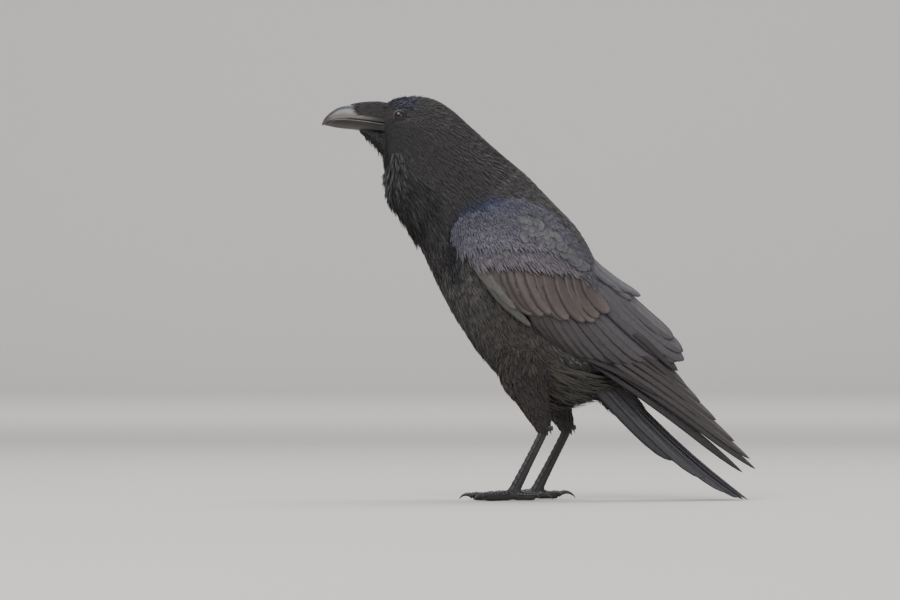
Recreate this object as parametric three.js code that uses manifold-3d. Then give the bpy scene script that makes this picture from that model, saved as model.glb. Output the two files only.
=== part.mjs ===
// A common raven, life size, standing with its bill forward and its tail tip on the ground.
// Millimetres, +Z up. The bird faces -X, its left side is -Y, and the ground is Z = 0.
// The solids follow the outside of the plumage. X = 0 is midway between bill tip and wing tip.
import * as THREE from "three";
import { mergeVertices } from "three/addons/utils/BufferGeometryUtils.js";
import Module from "manifold-3d";

const wasm = await Module();
wasm.setup();

// ---------------------------------------------------------------- driving dimensions

const GAP = 0.35; // clearance between touching pieces
const CUT_REACH = 60; // how far a parting cut runs past the body
const GROUND_CUT = 400; // side of the block that trims feet and tail level with the ground

const SIDES = { left: -1, right: 1 };
const SMALL_RING = 12; // points round a small soft form

// Sections of the body from the bill's base to the tail's base. Each spans from a point on the
// back line to one on the belly line, [x, z], and half is half its width.
const BODY = [
  { back: [-160, 417], belly: [-162, 367.5], half: 13.5 }, // bill base
  { back: [-147.5, 421.6], belly: [-161.7, 355.9], half: 20.5 }, // eyes
  { back: [-128.6, 423.7], belly: [-160.1, 342.3], half: 26 }, // crown
  { back: [-109.7, 420.5], belly: [-158, 326.6], half: 29.5 }, // nape
  { back: [-91.9, 410], belly: [-152.8, 310.3], half: 33 },
  { back: [-69.8, 390.6], belly: [-142.3, 296.1], half: 38.5 }, // throat hackles end
  { back: [-43.6, 367], belly: [-127.6, 274.1], half: 46 },
  { back: [-14.2, 341.8], belly: [-112.4, 243.1], half: 54 }, // shoulders
  { back: [12.1, 315], belly: [-96.6, 207.9], half: 60 }, // breast
  { back: [41, 284], belly: [-77.7, 176.4], half: 62 },
  { back: [60, 249.9], belly: [-54.1, 143.8], half: 60 }, // belly
  { back: [76, 213], belly: [-22.6, 116.6], half: 51 },
  { back: [84, 180.6], belly: [19.4, 106.1], half: 37 }, // rump and vent
  { back: [86, 157], belly: [54, 114], half: 22 },
];
const BODY_SQUARENESS = 2.15; // 2 is an ellipse
const BODY_STEPS = 22;
const BODY_SIDES = 20;
const HEAD_ENDS = 4.2; // in sections counted from 0
const NECK_ENDS = 6.6;

// The small feathers of the chin, which run forward under the bill: [x, top z, bottom z, half width].
const CHIN = [
  [-158, 386, 352, 12],
  [-165, 386, 364, 11],
  [-173, 385.5, 374, 8.5],
  [-181.5, 387, 381, 5.5],
  [-190, 389, 387, 2.5],
];

// Bill sections from base to tip: [x, culmen z, cutting edge z, half width].
const UPPER_BILL = [
  [-158, 416, 395.6, 12.5],
  [-168, 417.4, 397, 11.4],
  [-177, 417.4, 398.3, 10.4],
  [-187, 416.6, 399.4, 9.2],
  [-196, 415.2, 400.3, 8],
  [-204.5, 413.7, 401, 6.7],
  [-212, 411, 400.9, 5.2],
  [-219.5, 406, 398.2, 3.4],
  [-224.6, 400.6, 394.6, 1.9],
  [-227.3, 395.6, 393.4, 0.7],
];
// Lower bill: [x, cutting edge z, underside z, half width].
const LOWER_BILL = [
  [-158, 394.4, 381, 12],
  [-168, 395.8, 383.4, 10.9],
  [-177, 397.3, 385.6, 9.8],
  [-187, 398.6, 387.6, 8.4],
  [-196, 399.5, 388.9, 7.2],
  [-204.5, 400.2, 389.7, 5.9],
  [-213.5, 399.8, 391, 4.2],
  [-220.5, 396.6, 392.6, 2.3],
  [-224.2, 394, 393, 0.9],
];
const BILL_SIDES = 8;
const BILL_ROUNDNESS = 0.85; // under 1 is fuller than a half ellipse

const EYE = { x: -145.8, y: 14.7, z: 403, radius: 6.7, facetsAround: 12, facetsUp: 7 };

// The folded wing's covering surface, front to back. Each section is bent from an upper edge over
// a crest to a lower edge, [x, y, z], and thick is its depth at the crest. y is measured outward.
const WING = [
  { upper: [-86, 42, 292], crest: [-88, 47.5, 285], lower: [-87.5, 44, 277], thick: 14 }, // wrist
  { upper: [-72, 34, 303], crest: [-79, 57, 281], lower: [-81, 51, 258], thick: 24 },
  { upper: [-46, 31, 312], crest: [-59, 66, 270], lower: [-67, 58, 232], thick: 28 },
  { upper: [-8, 24, 306], crest: [-32, 71, 249], lower: [-47, 61, 203.5], thick: 28 },
  { upper: [38, 10, 284], crest: [1.6, 69.5, 223], lower: [-25, 59.5, 186], thick: 26 },
  { upper: [70.5, 3, 254], crest: [31, 61.5, 197.5], lower: [1.6, 54, 168], thick: 20 },
  { upper: [110.5, 1, 214.5], crest: [66, 47, 168], lower: [24.7, 46.5, 154.3], thick: 12 },
  { upper: [139.5, 1, 181], crest: [97, 33, 149], lower: [46.7, 38.5, 143.8], thick: 8 },
  { upper: [153.5, 2.5, 148], crest: [118, 23, 137], lower: [67, 31, 138], thick: 5 }, // tertial tips
];
const WING_EDGE_THICKNESS = 1;
const WING_ACROSS = 7; // facets from upper to lower edge
const WING_ALONG = 9; // facets along each layer
const WING_FULLNESS = 0.6; // under 1 keeps the wing's depth out towards its edges
const WING_SHARE_PER_MM = 1 / 250; // the share of its length that a millimetre is, near an end
const COVERTS_LIFT = 1.6; // the coverts lie this far above the feathers that they cover
// Where the coverts end and the quills under them start, as a share of the wing's length, at the
// upper edge, crest and lower edge.
const COVERTS_END = [0.6, 0.66, 0.42];
const QUILLS_START = [0.36, 0.42, 0.2];

// The longest wing quills of one wing: tip [x, y, z], root [x, y, z] and breadth, inner to outer.
const PRIMARIES = [
  { root: [56, 30, 184], tip: [169.6, 7, 103], breadth: 19 },
  { root: [52, 33, 179], tip: [186.4, 6, 84], breadth: 19 },
  { root: [48, 36, 174], tip: [205.3, 5.5, 62], breadth: 18 },
  { root: [42, 39, 170], tip: [221.5, 5.5, 43.5], breadth: 17 },
  { root: [36, 42, 166], tip: [227.3, 7, 33], breadth: 16 },
  { root: [30, 44, 163], tip: [213.7, 9.5, 29.4], breadth: 15 },
  { root: [24, 46, 161], tip: [144.4, 24, 99.5], breadth: 12 }, // short outermost quill
];
const PRIMARY_FACE = [0.42, 0.72, 0.55]; // the way the upper face of a folded quill looks
const PRIMARY_BOW = [3, 3, 4]; // how far a quill's middle bows from a straight line
const QUILL_THICKNESS = 2.6;
// A quill's blade: its section as shares of half breadth and half thickness, its breadth at the root,
// its thickness at the tip, and where along it the rounded point begins.
const BLADE = {
  section: [[-1, 0.8], [1, 0.8], [1, -0.8], [-1, -0.8]],
  rootBreadth: 0.62,
  fullFrom: 0.45,
  tipThickness: 0.45,
  pointFrom: 0.72,
  steps: 5,
};

// The tail: a roof of six pairs of feathers, the middle pair longest and on top.
const TAIL = {
  root: [54, 0, 160],
  length: 231,
  slopeAtRoot: 52.5, // degrees below the horizontal
  slopeAtTip: 35.5,
  breadth: 26,
  spreadAtRoot: 3, // sideways step from one feather to the next
  spreadAtTip: 4.4,
  firstRoll: 6, // degrees that the middle pair leans outward
  roll: 9, // degrees that each feather leans outward from the one inside it
  halfGap: 1.5, // from the middle plane to the middle pair's shafts
  thickness: 3.2,
};
// Its pairs from the middle outward: how much shorter each is than the middle one, and how far it
// lies under it at its root and tip. The outermost pair is short and hangs clear of the rest.
const TAIL_PAIRS = [
  { shorter: 0, drop: [0, 0] },
  { shorter: 5, drop: [1.5, 2.4] },
  { shorter: 11, drop: [3, 4.6] },
  { shorter: 23, drop: [4.4, 6.6] },
  { shorter: 50, drop: [6, 9] },
  { shorter: 86, drop: [14, 15] },
];

// The small feathers round the tail's root: along the tail, half width, height above, depth below.
const TAIL_COVERTS = [
  [-14, 20, 14, 24],
  [12, 21, 12, 23],
  [38, 20, 9, 20],
  [64, 17, 5, 15.5],
  [88, 13, 1.5, 11.5],
  [106, 7, -2.5, 8],
];

// Each leg: thigh feathers, shank and toes. Joints are [x, y, z] with y measured outward.
const LEGS = {
  left: {
    thigh: [[-14, 24, 186], [-16, 35, 138], [-6, 33.5, 106], [4, 31.5, 79]],
    ankle: [4.5, 31.5, 71],
    ball: [-27.8, 31, 9.5],
  },
  right: {
    thigh: [[2, 24, 186], [4, 35, 138], [17, 33.5, 106], [29, 31.5, 79]],
    ankle: [29.5, 31.5, 71],
    ball: [-3.2, 31, 9.5],
  },
};
const THIGH_RADII = [[30, 16], [28, 19], [17, 14], [8.4, 7.6]]; // fore and aft, sideways
const THIGH_FACETS = { along: 7, round: 14 };
const SHANK_FACETS = { along: 7, round: 9 };
const SHANK_RADII = [[7, 5], [6, 4.5], [5.1, 3.9], [4.9, 3.7], [5.3, 4.1], [6.4, 5.6]];
const SOLE_DROP = 3; // how far the shank goes on below the middle of the ball of the foot
const TOE_RADIUS = 4.9;
const TOE_TAPER = 0.9; // how much thinner a toe is at its end
const TOE_FLATNESS = 0.92; // half breadth as a share of half height
const TOE_ROOT_RISE = 1.8; // how much higher a toe's middle is at the ball of the foot
const TOE_SIDES = 6;
const PAD_BULGE = 0.9; // how much fatter a toe is at a pad than between pads
const TOE_CENTRE_HEIGHT = 4.3; // pads reach a little under the ground and are trimmed level
// Toes: degrees from straight ahead (outward is positive), length, pads, claw length.
const TOES = {
  inner: { heading: -24, length: 31, pads: 2, claw: 16 },
  middle: { heading: 2, length: 42, pads: 3, claw: 17 },
  outer: { heading: 27, length: 33, pads: 3, claw: 15 },
  hind: { heading: 176, length: 25, pads: 2, claw: 22 },
};
const CLAW_BASE_RADIUS = 3;
const CLAW_TIP_RADIUS = 0.35;
const CLAW_FLATNESS = 0.8; // half breadth as a share of half height
const CLAW_STEPS = 4;
const CLAW_RISE = 44; // degrees that a claw rises at its base
const CLAW_CURL = 108; // degrees that it bends downwards from base to tip

const FINISHES = {
  plumage: { color: 0x17181c, roughness: 0.5, metalness: 0 },
  bill: { color: 0x3a3b3d, roughness: 0.35, metalness: 0 },
  legs: { color: 0x1d1d20, roughness: 0.55, metalness: 0 },
  claws: { color: 0x141416, roughness: 0.35, metalness: 0 },
  eyes: { color: 0x120c09, roughness: 0.05, metalness: 0 },
};

// ---------------------------------------------------------------- geometry helpers

const vec = (x, y, z) => new THREE.Vector3(x, y, z);
const SIDEWAYS = vec(0, 1, 0);
const radians = THREE.MathUtils.degToRad;
const mix = THREE.MathUtils.lerp;

// A closed mesh through rings of points, with a fan on each end, turned so that it faces outward.
function loft(rings) {
  const count = rings[0].length;
  const positions = [];
  const index = [];
  for (const p of rings.flat()) positions.push(p.x, p.y, p.z);
  for (let r = 0; r + 1 < rings.length; r++)
    for (let i = 0; i < count; i++) {
      const [a, b] = [r * count + i, r * count + ((i + 1) % count)];
      index.push(a, b, b + count, a, b + count, a + count);
    }
  for (const [ring, start] of [[rings[0], 0], [rings.at(-1), (rings.length - 1) * count]]) {
    const centre = ring.reduce((sum, p) => sum.add(p), vec(0, 0, 0)).divideScalar(count);
    const hub = positions.length / 3;
    positions.push(centre.x, centre.y, centre.z);
    for (let i = 0; i < count; i++) {
      const [a, b] = [start + i, start + ((i + 1) % count)];
      if (start === 0) index.push(hub, b, a);
      else index.push(hub, a, b);
    }
  }
  const corner = (i) => vec(...positions.slice(3 * index[i], 3 * index[i] + 3));
  let volume = 0;
  for (let i = 0; i < index.length; i += 3)
    volume += corner(i).dot(corner(i + 1).cross(corner(i + 2)));
  if (volume < 0) index.reverse();
  const geometry = new THREE.BufferGeometry();
  geometry.setAttribute("position", new THREE.Float32BufferAttribute(positions, 3));
  geometry.setIndex(index);
  return geometry;
}

function toSolid(geometry, tolerance = 1e-4) {
  geometry.deleteAttribute("normal");
  geometry.deleteAttribute("uv");
  const merged = mergeVertices(geometry, tolerance);
  return new wasm.Manifold(
    new wasm.Mesh({
      numProp: 3,
      vertProperties: merged.attributes.position.array,
      triVerts: new Uint32Array(merged.index.array),
    }),
  );
}

function toGeometry(solid) {
  const mesh = solid.getMesh();
  const geometry = new THREE.BufferGeometry();
  geometry.setAttribute("position", new THREE.BufferAttribute(mesh.vertProperties, 3));
  geometry.setIndex(new THREE.BufferAttribute(mesh.triVerts, 1));
  geometry.computeVertexNormals();
  return geometry;
}

const join = (solids) => solids.reduce((all, one) => all.add(one));

// The largest connected piece, so that slivers left by a cut are dropped.
const mainPiece = (solid) =>
  solid.decompose().reduce((best, one) => (one.volume() > best.volume() ? one : best));

// The same at the precision that the finished part is stored in.
const tidied = (solid) => mainPiece(toSolid(toGeometry(mainPiece(solid)), 1e-3));

// A smooth value between entries of a list, at a place from 0 to 1 along it, or straight on beyond.
function along(values, place) {
  const curve = new THREE.CatmullRomCurve3(values.map((v) => vec(...v)), false, "centripetal");
  const inside = THREE.MathUtils.clamp(place, 0, 1);
  const point = curve.getPoint(inside);
  if (place === inside) return point;
  const step = inside === 0 ? 0.01 : -0.01;
  return point.addScaledVector(curve.getPoint(inside + step).sub(point), (place - inside) / step);
}

// A tube along a path. Its oval section has two radii, [square to `level`, along `level`].
function tube(path, radii, steps, sides, level, grow = 0) {
  const rings = [];
  for (let s = 0; s <= steps; s++) {
    const place = s / steps;
    const centre = along(path, place);
    const ahead = along(path, place + 0.01).sub(along(path, place - 0.01)).normalize();
    const up = level.clone().cross(ahead).normalize();
    const across = ahead.clone().cross(up);
    const { x: deep, y: wide } = along(radii.map(([d, w]) => [d, w, 0]), place);
    rings.push(
      Array.from({ length: sides }, (_, i) => {
        const turn = ((i + 0.5) / sides) * 2 * Math.PI;
        return centre
          .clone()
          .addScaledVector(up, (deep + grow) * Math.cos(turn))
          .addScaledVector(across, (wide + grow) * Math.sin(turn));
      }),
    );
  }
  return loft(rings);
}

// A flat-sided blade from root to tip with a rounded point. face is the way its upper side looks.
function blade(spine, breadth, thickness, face) {
  const rings = [];
  for (let s = 0; s <= BLADE.steps; s++) {
    const place = s / BLADE.steps;
    const centre = along(spine, place);
    const ahead = along(spine, place + 0.02).sub(along(spine, place - 0.02)).normalize();
    const across = ahead.clone().cross(face).normalize();
    const up = across.clone().cross(ahead);
    const pastShoulder = Math.max(0, (place - BLADE.pointFrom) / (1.005 - BLADE.pointFrom));
    const taper = Math.sqrt(1 - pastShoulder ** 2);
    const widened = mix(BLADE.rootBreadth, 1, Math.min(1, place / BLADE.fullFrom));
    const half = (breadth / 2) * widened * taper;
    const deep = (thickness / 2) * mix(1, BLADE.tipThickness, place);
    rings.push(
      BLADE.section.map(([a, b]) =>
        centre.clone().addScaledVector(across, a * half).addScaledVector(up, b * deep),
      ),
    );
  }
  return loft(rings);
}

// ---------------------------------------------------------------- body, head and neck

const backLine = (place) => along(BODY.map((s) => [s.back[0], 0, s.back[1]]), place);
const bellyLine = (place) => along(BODY.map((s) => [s.belly[0], 0, s.belly[1]]), place);
const bodyHalf = (place) => along(BODY.map((s, i) => [i, s.half, 0]), place).y;

function bodyRing(place, grow) {
  const [back, belly] = [backLine(place), bellyLine(place)];
  const middle = back.clone().add(belly).divideScalar(2);
  const up = back.clone().sub(belly).divideScalar(2);
  up.setLength(up.length() + grow);
  const half = bodyHalf(place) + grow;
  const rounded = (v) => Math.sign(v) * Math.abs(v) ** (2 / BODY_SQUARENESS);
  return Array.from({ length: BODY_SIDES }, (_, i) => {
    const turn = (i / BODY_SIDES) * 2 * Math.PI;
    const point = middle.clone().addScaledVector(up, rounded(Math.cos(turn)));
    point.y = half * rounded(Math.sin(turn));
    return point;
  });
}

function bodySolid(grow = 0) {
  const rings = [];
  for (let s = 0; s <= BODY_STEPS; s++) rings.push(bodyRing(s / BODY_STEPS, grow));
  return toSolid(loft(rings));
}

// A thin plate through the body along its section at a place, used to part it.
function partingCut(section) {
  const place = section / (BODY.length - 1);
  const [back, belly] = [backLine(place), bellyLine(place)];
  const plate = new THREE.BoxGeometry(GAP, 4 * CUT_REACH, back.distanceTo(belly) + CUT_REACH);
  plate.rotateY(Math.atan2(back.x - belly.x, back.z - belly.z));
  const middle = back.add(belly).divideScalar(2);
  plate.translate(middle.x, 0, middle.z);
  return toSolid(plate);
}

// One half of the bill: straight at its cutting edge and round on the other side.
function billHalf(sections, grow = 0) {
  return toSolid(
    loft(
      sections.map(([x, a, b, half]) => {
        const [round, flat] = sections === UPPER_BILL ? [a, b] : [b, a];
        const away = Math.sign(round - flat);
        const ring = [];
        for (let i = 0; i <= BILL_SIDES; i++) {
          const turn = mix(-90, 90, i / BILL_SIDES);
          const rise = Math.cos(radians(turn)) ** BILL_ROUNDNESS;
          const y = (half + grow) * Math.sin(radians(turn));
          ring.push(vec(x, y, mix(flat - away * grow, round + away * grow, rise)));
        }
        ring.push(vec(x, 0, flat - away * grow));
        return ring;
      }),
    ),
  );
}

function chinSolid() {
  const rings = CHIN.map(([x, top, bottom, half]) =>
    Array.from({ length: SMALL_RING }, (_, i) => {
      const turn = (i / SMALL_RING) * 2 * Math.PI;
      const z = mix(bottom, top, 0.5 + 0.5 * Math.cos(turn));
      return vec(x, half * Math.sin(turn), z);
    }),
  );
  return toSolid(loft(rings));
}

function eyeSolid(side, grow = 0) {
  const ball = new THREE.SphereGeometry(EYE.radius + grow, EYE.facetsAround, EYE.facetsUp);
  ball.translate(EYE.x, side * EYE.y, EYE.z);
  return toSolid(ball);
}

// ---------------------------------------------------------------- wings

// A point on the folded wing's outer surface, a share of the way along and across it.
function wingPoint(side, length, across, lift = 0) {
  const [upper, crest, lower] = ["upper", "crest", "lower"].map((k) =>
    along(WING.map((s) => s[k]), length),
  );
  const bend = crest.clone().multiplyScalar(2).sub(upper.clone().add(lower).divideScalar(2));
  const point = upper
    .multiplyScalar((1 - across) ** 2)
    .addScaledVector(bend, 2 * across * (1 - across))
    .addScaledVector(lower, across ** 2);
  if (lift) point.addScaledVector(wingNormal(length, across), lift);
  point.y *= side;
  return point;
}

function wingNormal(length, across) {
  const step = 0.02;
  const [l0, l1] = [Math.max(0, length - step), Math.min(1, length + step)];
  const [a0, a1] = [Math.max(0, across - step), Math.min(1, across + step)];
  const down = wingPoint(1, length, a1).sub(wingPoint(1, length, a0));
  const back = wingPoint(1, l1, across).sub(wingPoint(1, l0, across));
  return back.cross(down).normalize();
}

// A slab of the folded wing between two slanting ends, each given at upper edge, crest and lower edge.
function wingSlab(side, starts, ends, lift, grow = 0) {
  const thickness = (length) => along(WING.map((s, i) => [i, s.thick, 0]), length).y;
  const edge = (list, across) => along(list.map((v, i) => [i, v, 0]), across).y;
  const [beyondEnd, beyondEdge] = [grow * WING_SHARE_PER_MM, 3 * grow * WING_SHARE_PER_MM];
  const rings = [];
  for (let s = 0; s <= WING_ALONG; s++) {
    const [outer, inner] = [[], []];
    for (let a = 0; a <= WING_ACROSS; a++) {
      const share = a / WING_ACROSS;
      const [start, end] = [edge(starts, share) - beyondEnd, edge(ends, share) + beyondEnd];
      const length = mix(start, end, s / WING_ALONG);
      const across = mix(-beyondEdge, 1 + beyondEdge, share);
      const depth = mix(WING_EDGE_THICKNESS, thickness(length), Math.sin(Math.PI * share) ** WING_FULLNESS);
      outer.push(wingPoint(side, length, across, lift + grow));
      inner.push(wingPoint(side, length, across, lift - depth - grow));
    }
    rings.push([...outer, ...inner.reverse()]);
  }
  return toSolid(loft(rings));
}

const covertsSolid = (side, grow) => wingSlab(side, [0, 0, 0], COVERTS_END, COVERTS_LIFT, grow);
const quillsSolid = (side, grow) => wingSlab(side, QUILLS_START, [1, 1, 1], 0, grow);

// The room that a piece takes up together with the gap round it.
const roomOf = (make, side) => make(side).add(make(side, GAP));

function primariesSolid(side) {
  const face = vec(PRIMARY_FACE[0], side * PRIMARY_FACE[1], PRIMARY_FACE[2]);
  return join(
    PRIMARIES.map(({ root, tip, breadth }) => {
      const middle = PRIMARY_BOW.map((bow, i) => mix(root[i], tip[i], 0.5) + bow);
      const spine = [root, middle, tip].map(([x, y, z]) => [x, side * y, z]);
      return toSolid(blade(spine, breadth, QUILL_THICKNESS, face));
    }),
  );
}

// ---------------------------------------------------------------- tail

// A point beside the tail's middle line: a distance along it, to one side and above it.
function tailPoint(distance, sideways, above) {
  const bend = TAIL.slopeAtRoot - TAIL.slopeAtTip;
  const steps = 12;
  const point = vec(...TAIL.root);
  for (let i = 0; i < steps; i++) {
    const slope = radians(TAIL.slopeAtRoot - (bend * (i + 0.5) * distance) / steps / TAIL.length);
    point.addScaledVector(vec(Math.cos(slope), 0, -Math.sin(slope)), distance / steps);
  }
  const slope = radians(TAIL.slopeAtRoot - (bend * distance) / TAIL.length);
  point.addScaledVector(vec(Math.sin(slope), 0, Math.cos(slope)), above);
  point.y += sideways;
  return point;
}

function tailFeather(pair, side) {
  const { shorter, drop } = TAIL_PAIRS[pair];
  const length = TAIL.length - shorter;
  const spine = [0, 1 / 3, 2 / 3, 1].map((place) => {
    const step = mix(TAIL.spreadAtRoot, TAIL.spreadAtTip, place);
    const sink = mix(...drop, place);
    return tailPoint(length * place, side * (TAIL.halfGap + step * pair), -sink).toArray();
  });
  const roll = radians(TAIL.firstRoll + TAIL.roll * pair);
  const slope = radians(mix(TAIL.slopeAtRoot, TAIL.slopeAtTip, 0.5));
  const face = vec(Math.sin(slope), side * Math.tan(roll), Math.cos(slope)).normalize();
  return toSolid(blade(spine, TAIL.breadth, TAIL.thickness, face));
}

function tailCovertsSolid() {
  const rings = TAIL_COVERTS.map(([distance, half, above, below]) =>
    Array.from({ length: SMALL_RING }, (_, i) => {
      const turn = (i / SMALL_RING) * 2 * Math.PI;
      const height = mix(-below, above, 0.5 + 0.5 * Math.cos(turn));
      return tailPoint(distance, half * Math.sin(turn), height);
    }),
  );
  return toSolid(loft(rings));
}

function tailSolid() {
  const feathers = [];
  for (let pair = 0; pair < TAIL_PAIRS.length; pair++)
    for (const side of Object.values(SIDES)) feathers.push(tailFeather(pair, side));
  return join([tailCovertsSolid(), ...feathers]);
}

// ---------------------------------------------------------------- legs

const outward = (side, [x, y, z]) => [x, side * y, z];

function thighSolid(leg, side, grow = 0) {
  const path = leg.thigh.map((p) => outward(side, p));
  return toSolid(tube(path, THIGH_RADII, THIGH_FACETS.along, THIGH_FACETS.round, SIDEWAYS, grow));
}

function shankSolid(leg, side, grow = 0) {
  const sole = [leg.ball[0], leg.ball[1], leg.ball[2] - SOLE_DROP];
  const path = [leg.thigh.at(-1), leg.ankle, sole].map((p) => outward(side, p));
  return toSolid(tube(path, SHANK_RADII, SHANK_FACETS.along, SHANK_FACETS.round, SIDEWAYS, grow));
}

// The way a toe points along the ground.
function toeHeading(side, heading) {
  const turn = radians(heading);
  return vec(-Math.cos(turn), side * Math.sin(turn), 0);
}

function toeSolid(leg, side, toe, grow = 0) {
  const ahead = toeHeading(side, toe.heading);
  const ball = vec(...outward(side, leg.ball));
  const steps = 3 * toe.pads;
  const [path, radii] = [[], []];
  for (let i = 0; i <= steps; i++) {
    const place = i / steps;
    const point = ball.clone().addScaledVector(ahead, toe.length * place);
    point.z = TOE_CENTRE_HEIGHT + TOE_ROOT_RISE * Math.max(0, 1 - 2.5 * place);
    path.push(point.toArray());
    const pad = PAD_BULGE * (0.5 - 0.5 * Math.cos(2 * Math.PI * toe.pads * place));
    const radius = TOE_RADIUS - TOE_TAPER * place + pad;
    radii.push([radius, radius * TOE_FLATNESS]);
  }
  const level = ahead.clone().cross(vec(0, 0, 1));
  return toSolid(tube(path, radii, steps, TOE_SIDES, level, grow));
}

function clawSolid(leg, side, toe) {
  const ahead = toeHeading(side, toe.heading);
  const point = vec(...outward(side, leg.ball)).addScaledVector(ahead, toe.length - 1);
  point.z = TOE_CENTRE_HEIGHT;
  const [path, radii] = [[point.toArray()], [[CLAW_BASE_RADIUS, CLAW_BASE_RADIUS * CLAW_FLATNESS]]];
  for (let i = 1; i <= CLAW_STEPS; i++) {
    const slope = radians(CLAW_RISE - (CLAW_CURL * (i - 0.5)) / CLAW_STEPS);
    point.addScaledVector(ahead, (Math.cos(slope) * toe.claw) / CLAW_STEPS);
    point.z += (Math.sin(slope) * toe.claw) / CLAW_STEPS;
    path.push(point.toArray());
    const radius = mix(CLAW_BASE_RADIUS, CLAW_TIP_RADIUS, (i / CLAW_STEPS) ** 1.2);
    radii.push([radius, radius * CLAW_FLATNESS]);
  }
  const level = ahead.clone().cross(vec(0, 0, 1));
  return toSolid(tube(path, radii, CLAW_STEPS, TOE_SIDES, level));
}

// ---------------------------------------------------------------- assembly

const raven = new THREE.Group();

function place(name, solid, finish) {
  const material = new THREE.MeshStandardMaterial(FINISHES[finish]);
  const mesh = new THREE.Mesh(toGeometry(tidied(solid)), material);
  mesh.name = name;
  raven.add(mesh);
}

const groundBlock = new THREE.BoxGeometry(4 * GROUND_CUT, GROUND_CUT, GROUND_CUT);
groundBlock.translate(0, 0, -GROUND_CUT / 2);
const ground = toSolid(groundBlock);

const body = bodySolid();
const bodyClear = bodySolid(GAP);
// Front to back: head, neck and trunk.
const [head, neck, trunk] = body
  .subtract(partingCut(HEAD_ENDS))
  .subtract(partingCut(NECK_ENDS))
  .decompose()
  .sort((a, b) => a.boundingBox().min[0] - b.boundingBox().min[0]);

place("bill_upper", billHalf(UPPER_BILL).subtract(bodyClear), "bill");
place("bill_lower", billHalf(LOWER_BILL).subtract(bodyClear), "bill");
const billClear = billHalf(UPPER_BILL, GAP).add(billHalf(LOWER_BILL, GAP));
const eyesClear = eyeSolid(SIDES.left, GAP).add(eyeSolid(SIDES.right, GAP));
const chin = chinSolid().subtract(billClear);
place("head", head.add(chin).subtract(eyesClear), "plumage");
place("neck", neck, "plumage");
place("trunk", trunk, "plumage");

for (const [name, side] of Object.entries(SIDES)) {
  place(`eye_${name}`, eyeSolid(side), "eyes");

  const covertsRoom = roomOf(covertsSolid, side);
  const wingRoom = covertsRoom.add(roomOf(quillsSolid, side));
  place(`wing_${name}_coverts`, covertsSolid(side).subtract(bodyClear), "plumage");
  const quills = quillsSolid(side).subtract(bodyClear).subtract(covertsRoom);
  place(`wing_${name}_quills`, quills, "plumage");
  const primaries = primariesSolid(side).subtract(bodyClear).subtract(wingRoom);
  place(`wing_${name}_primaries`, primaries, "plumage");

  const leg = LEGS[name];
  place(`thigh_${name}`, thighSolid(leg, side).subtract(bodyClear).subtract(wingRoom), "plumage");
  const shank = shankSolid(leg, side).subtract(thighSolid(leg, side, GAP));
  place(`shank_${name}`, shank.subtract(ground), "legs");
  let taken = shankSolid(leg, side, GAP);
  for (const [toeName, toe] of Object.entries(TOES)) {
    const solid = toeSolid(leg, side, toe);
    const toeRoom = toeSolid(leg, side, toe, GAP);
    place(`toe_${name}_${toeName}`, solid.subtract(taken).subtract(ground), "legs");
    const claw = clawSolid(leg, side, toe).subtract(toeRoom).subtract(ground);
    place(`claw_${name}_${toeName}`, claw, "claws");
    taken = taken.add(toeRoom);
  }
}
place("tail", tailSolid().subtract(bodyClear).subtract(ground), "plumage");

export default raven;
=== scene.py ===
"""A common raven, life size and standing: skin, coat of feathers, bill, eyes, legs and claws."""

import logging
import math
from dataclasses import dataclass, field
from enum import Enum

import bpy
import numpy as np
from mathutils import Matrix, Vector


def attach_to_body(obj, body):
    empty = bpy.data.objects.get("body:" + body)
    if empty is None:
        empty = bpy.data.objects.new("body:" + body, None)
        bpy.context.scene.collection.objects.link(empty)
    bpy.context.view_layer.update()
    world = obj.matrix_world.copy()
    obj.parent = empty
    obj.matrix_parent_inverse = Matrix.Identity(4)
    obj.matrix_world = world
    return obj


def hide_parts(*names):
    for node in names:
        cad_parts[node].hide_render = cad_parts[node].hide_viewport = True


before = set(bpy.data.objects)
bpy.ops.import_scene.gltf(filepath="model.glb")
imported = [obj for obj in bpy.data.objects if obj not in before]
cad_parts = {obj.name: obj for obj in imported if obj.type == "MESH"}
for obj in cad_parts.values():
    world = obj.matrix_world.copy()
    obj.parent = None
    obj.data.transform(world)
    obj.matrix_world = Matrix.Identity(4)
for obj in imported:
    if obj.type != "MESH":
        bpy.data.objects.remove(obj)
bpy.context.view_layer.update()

LOG = logging.getLogger("raven")
Array = np.ndarray
Colour = tuple[float, float, float]
MM = 0.001
SIDES = {"left": -1.0, "right": 1.0}  # the side's place along Y


# ---------------------------------------------------------------- numbers and curves


def mm(values: object) -> Array:
    """Millimetres as an array of metres."""
    return np.array(values, float) * MM


def unit(vectors: Array) -> Array:
    """The vectors at length one, taken along the last axis."""
    return vectors / np.maximum(np.linalg.norm(vectors, axis=-1, keepdims=True), 1e-12)


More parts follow.
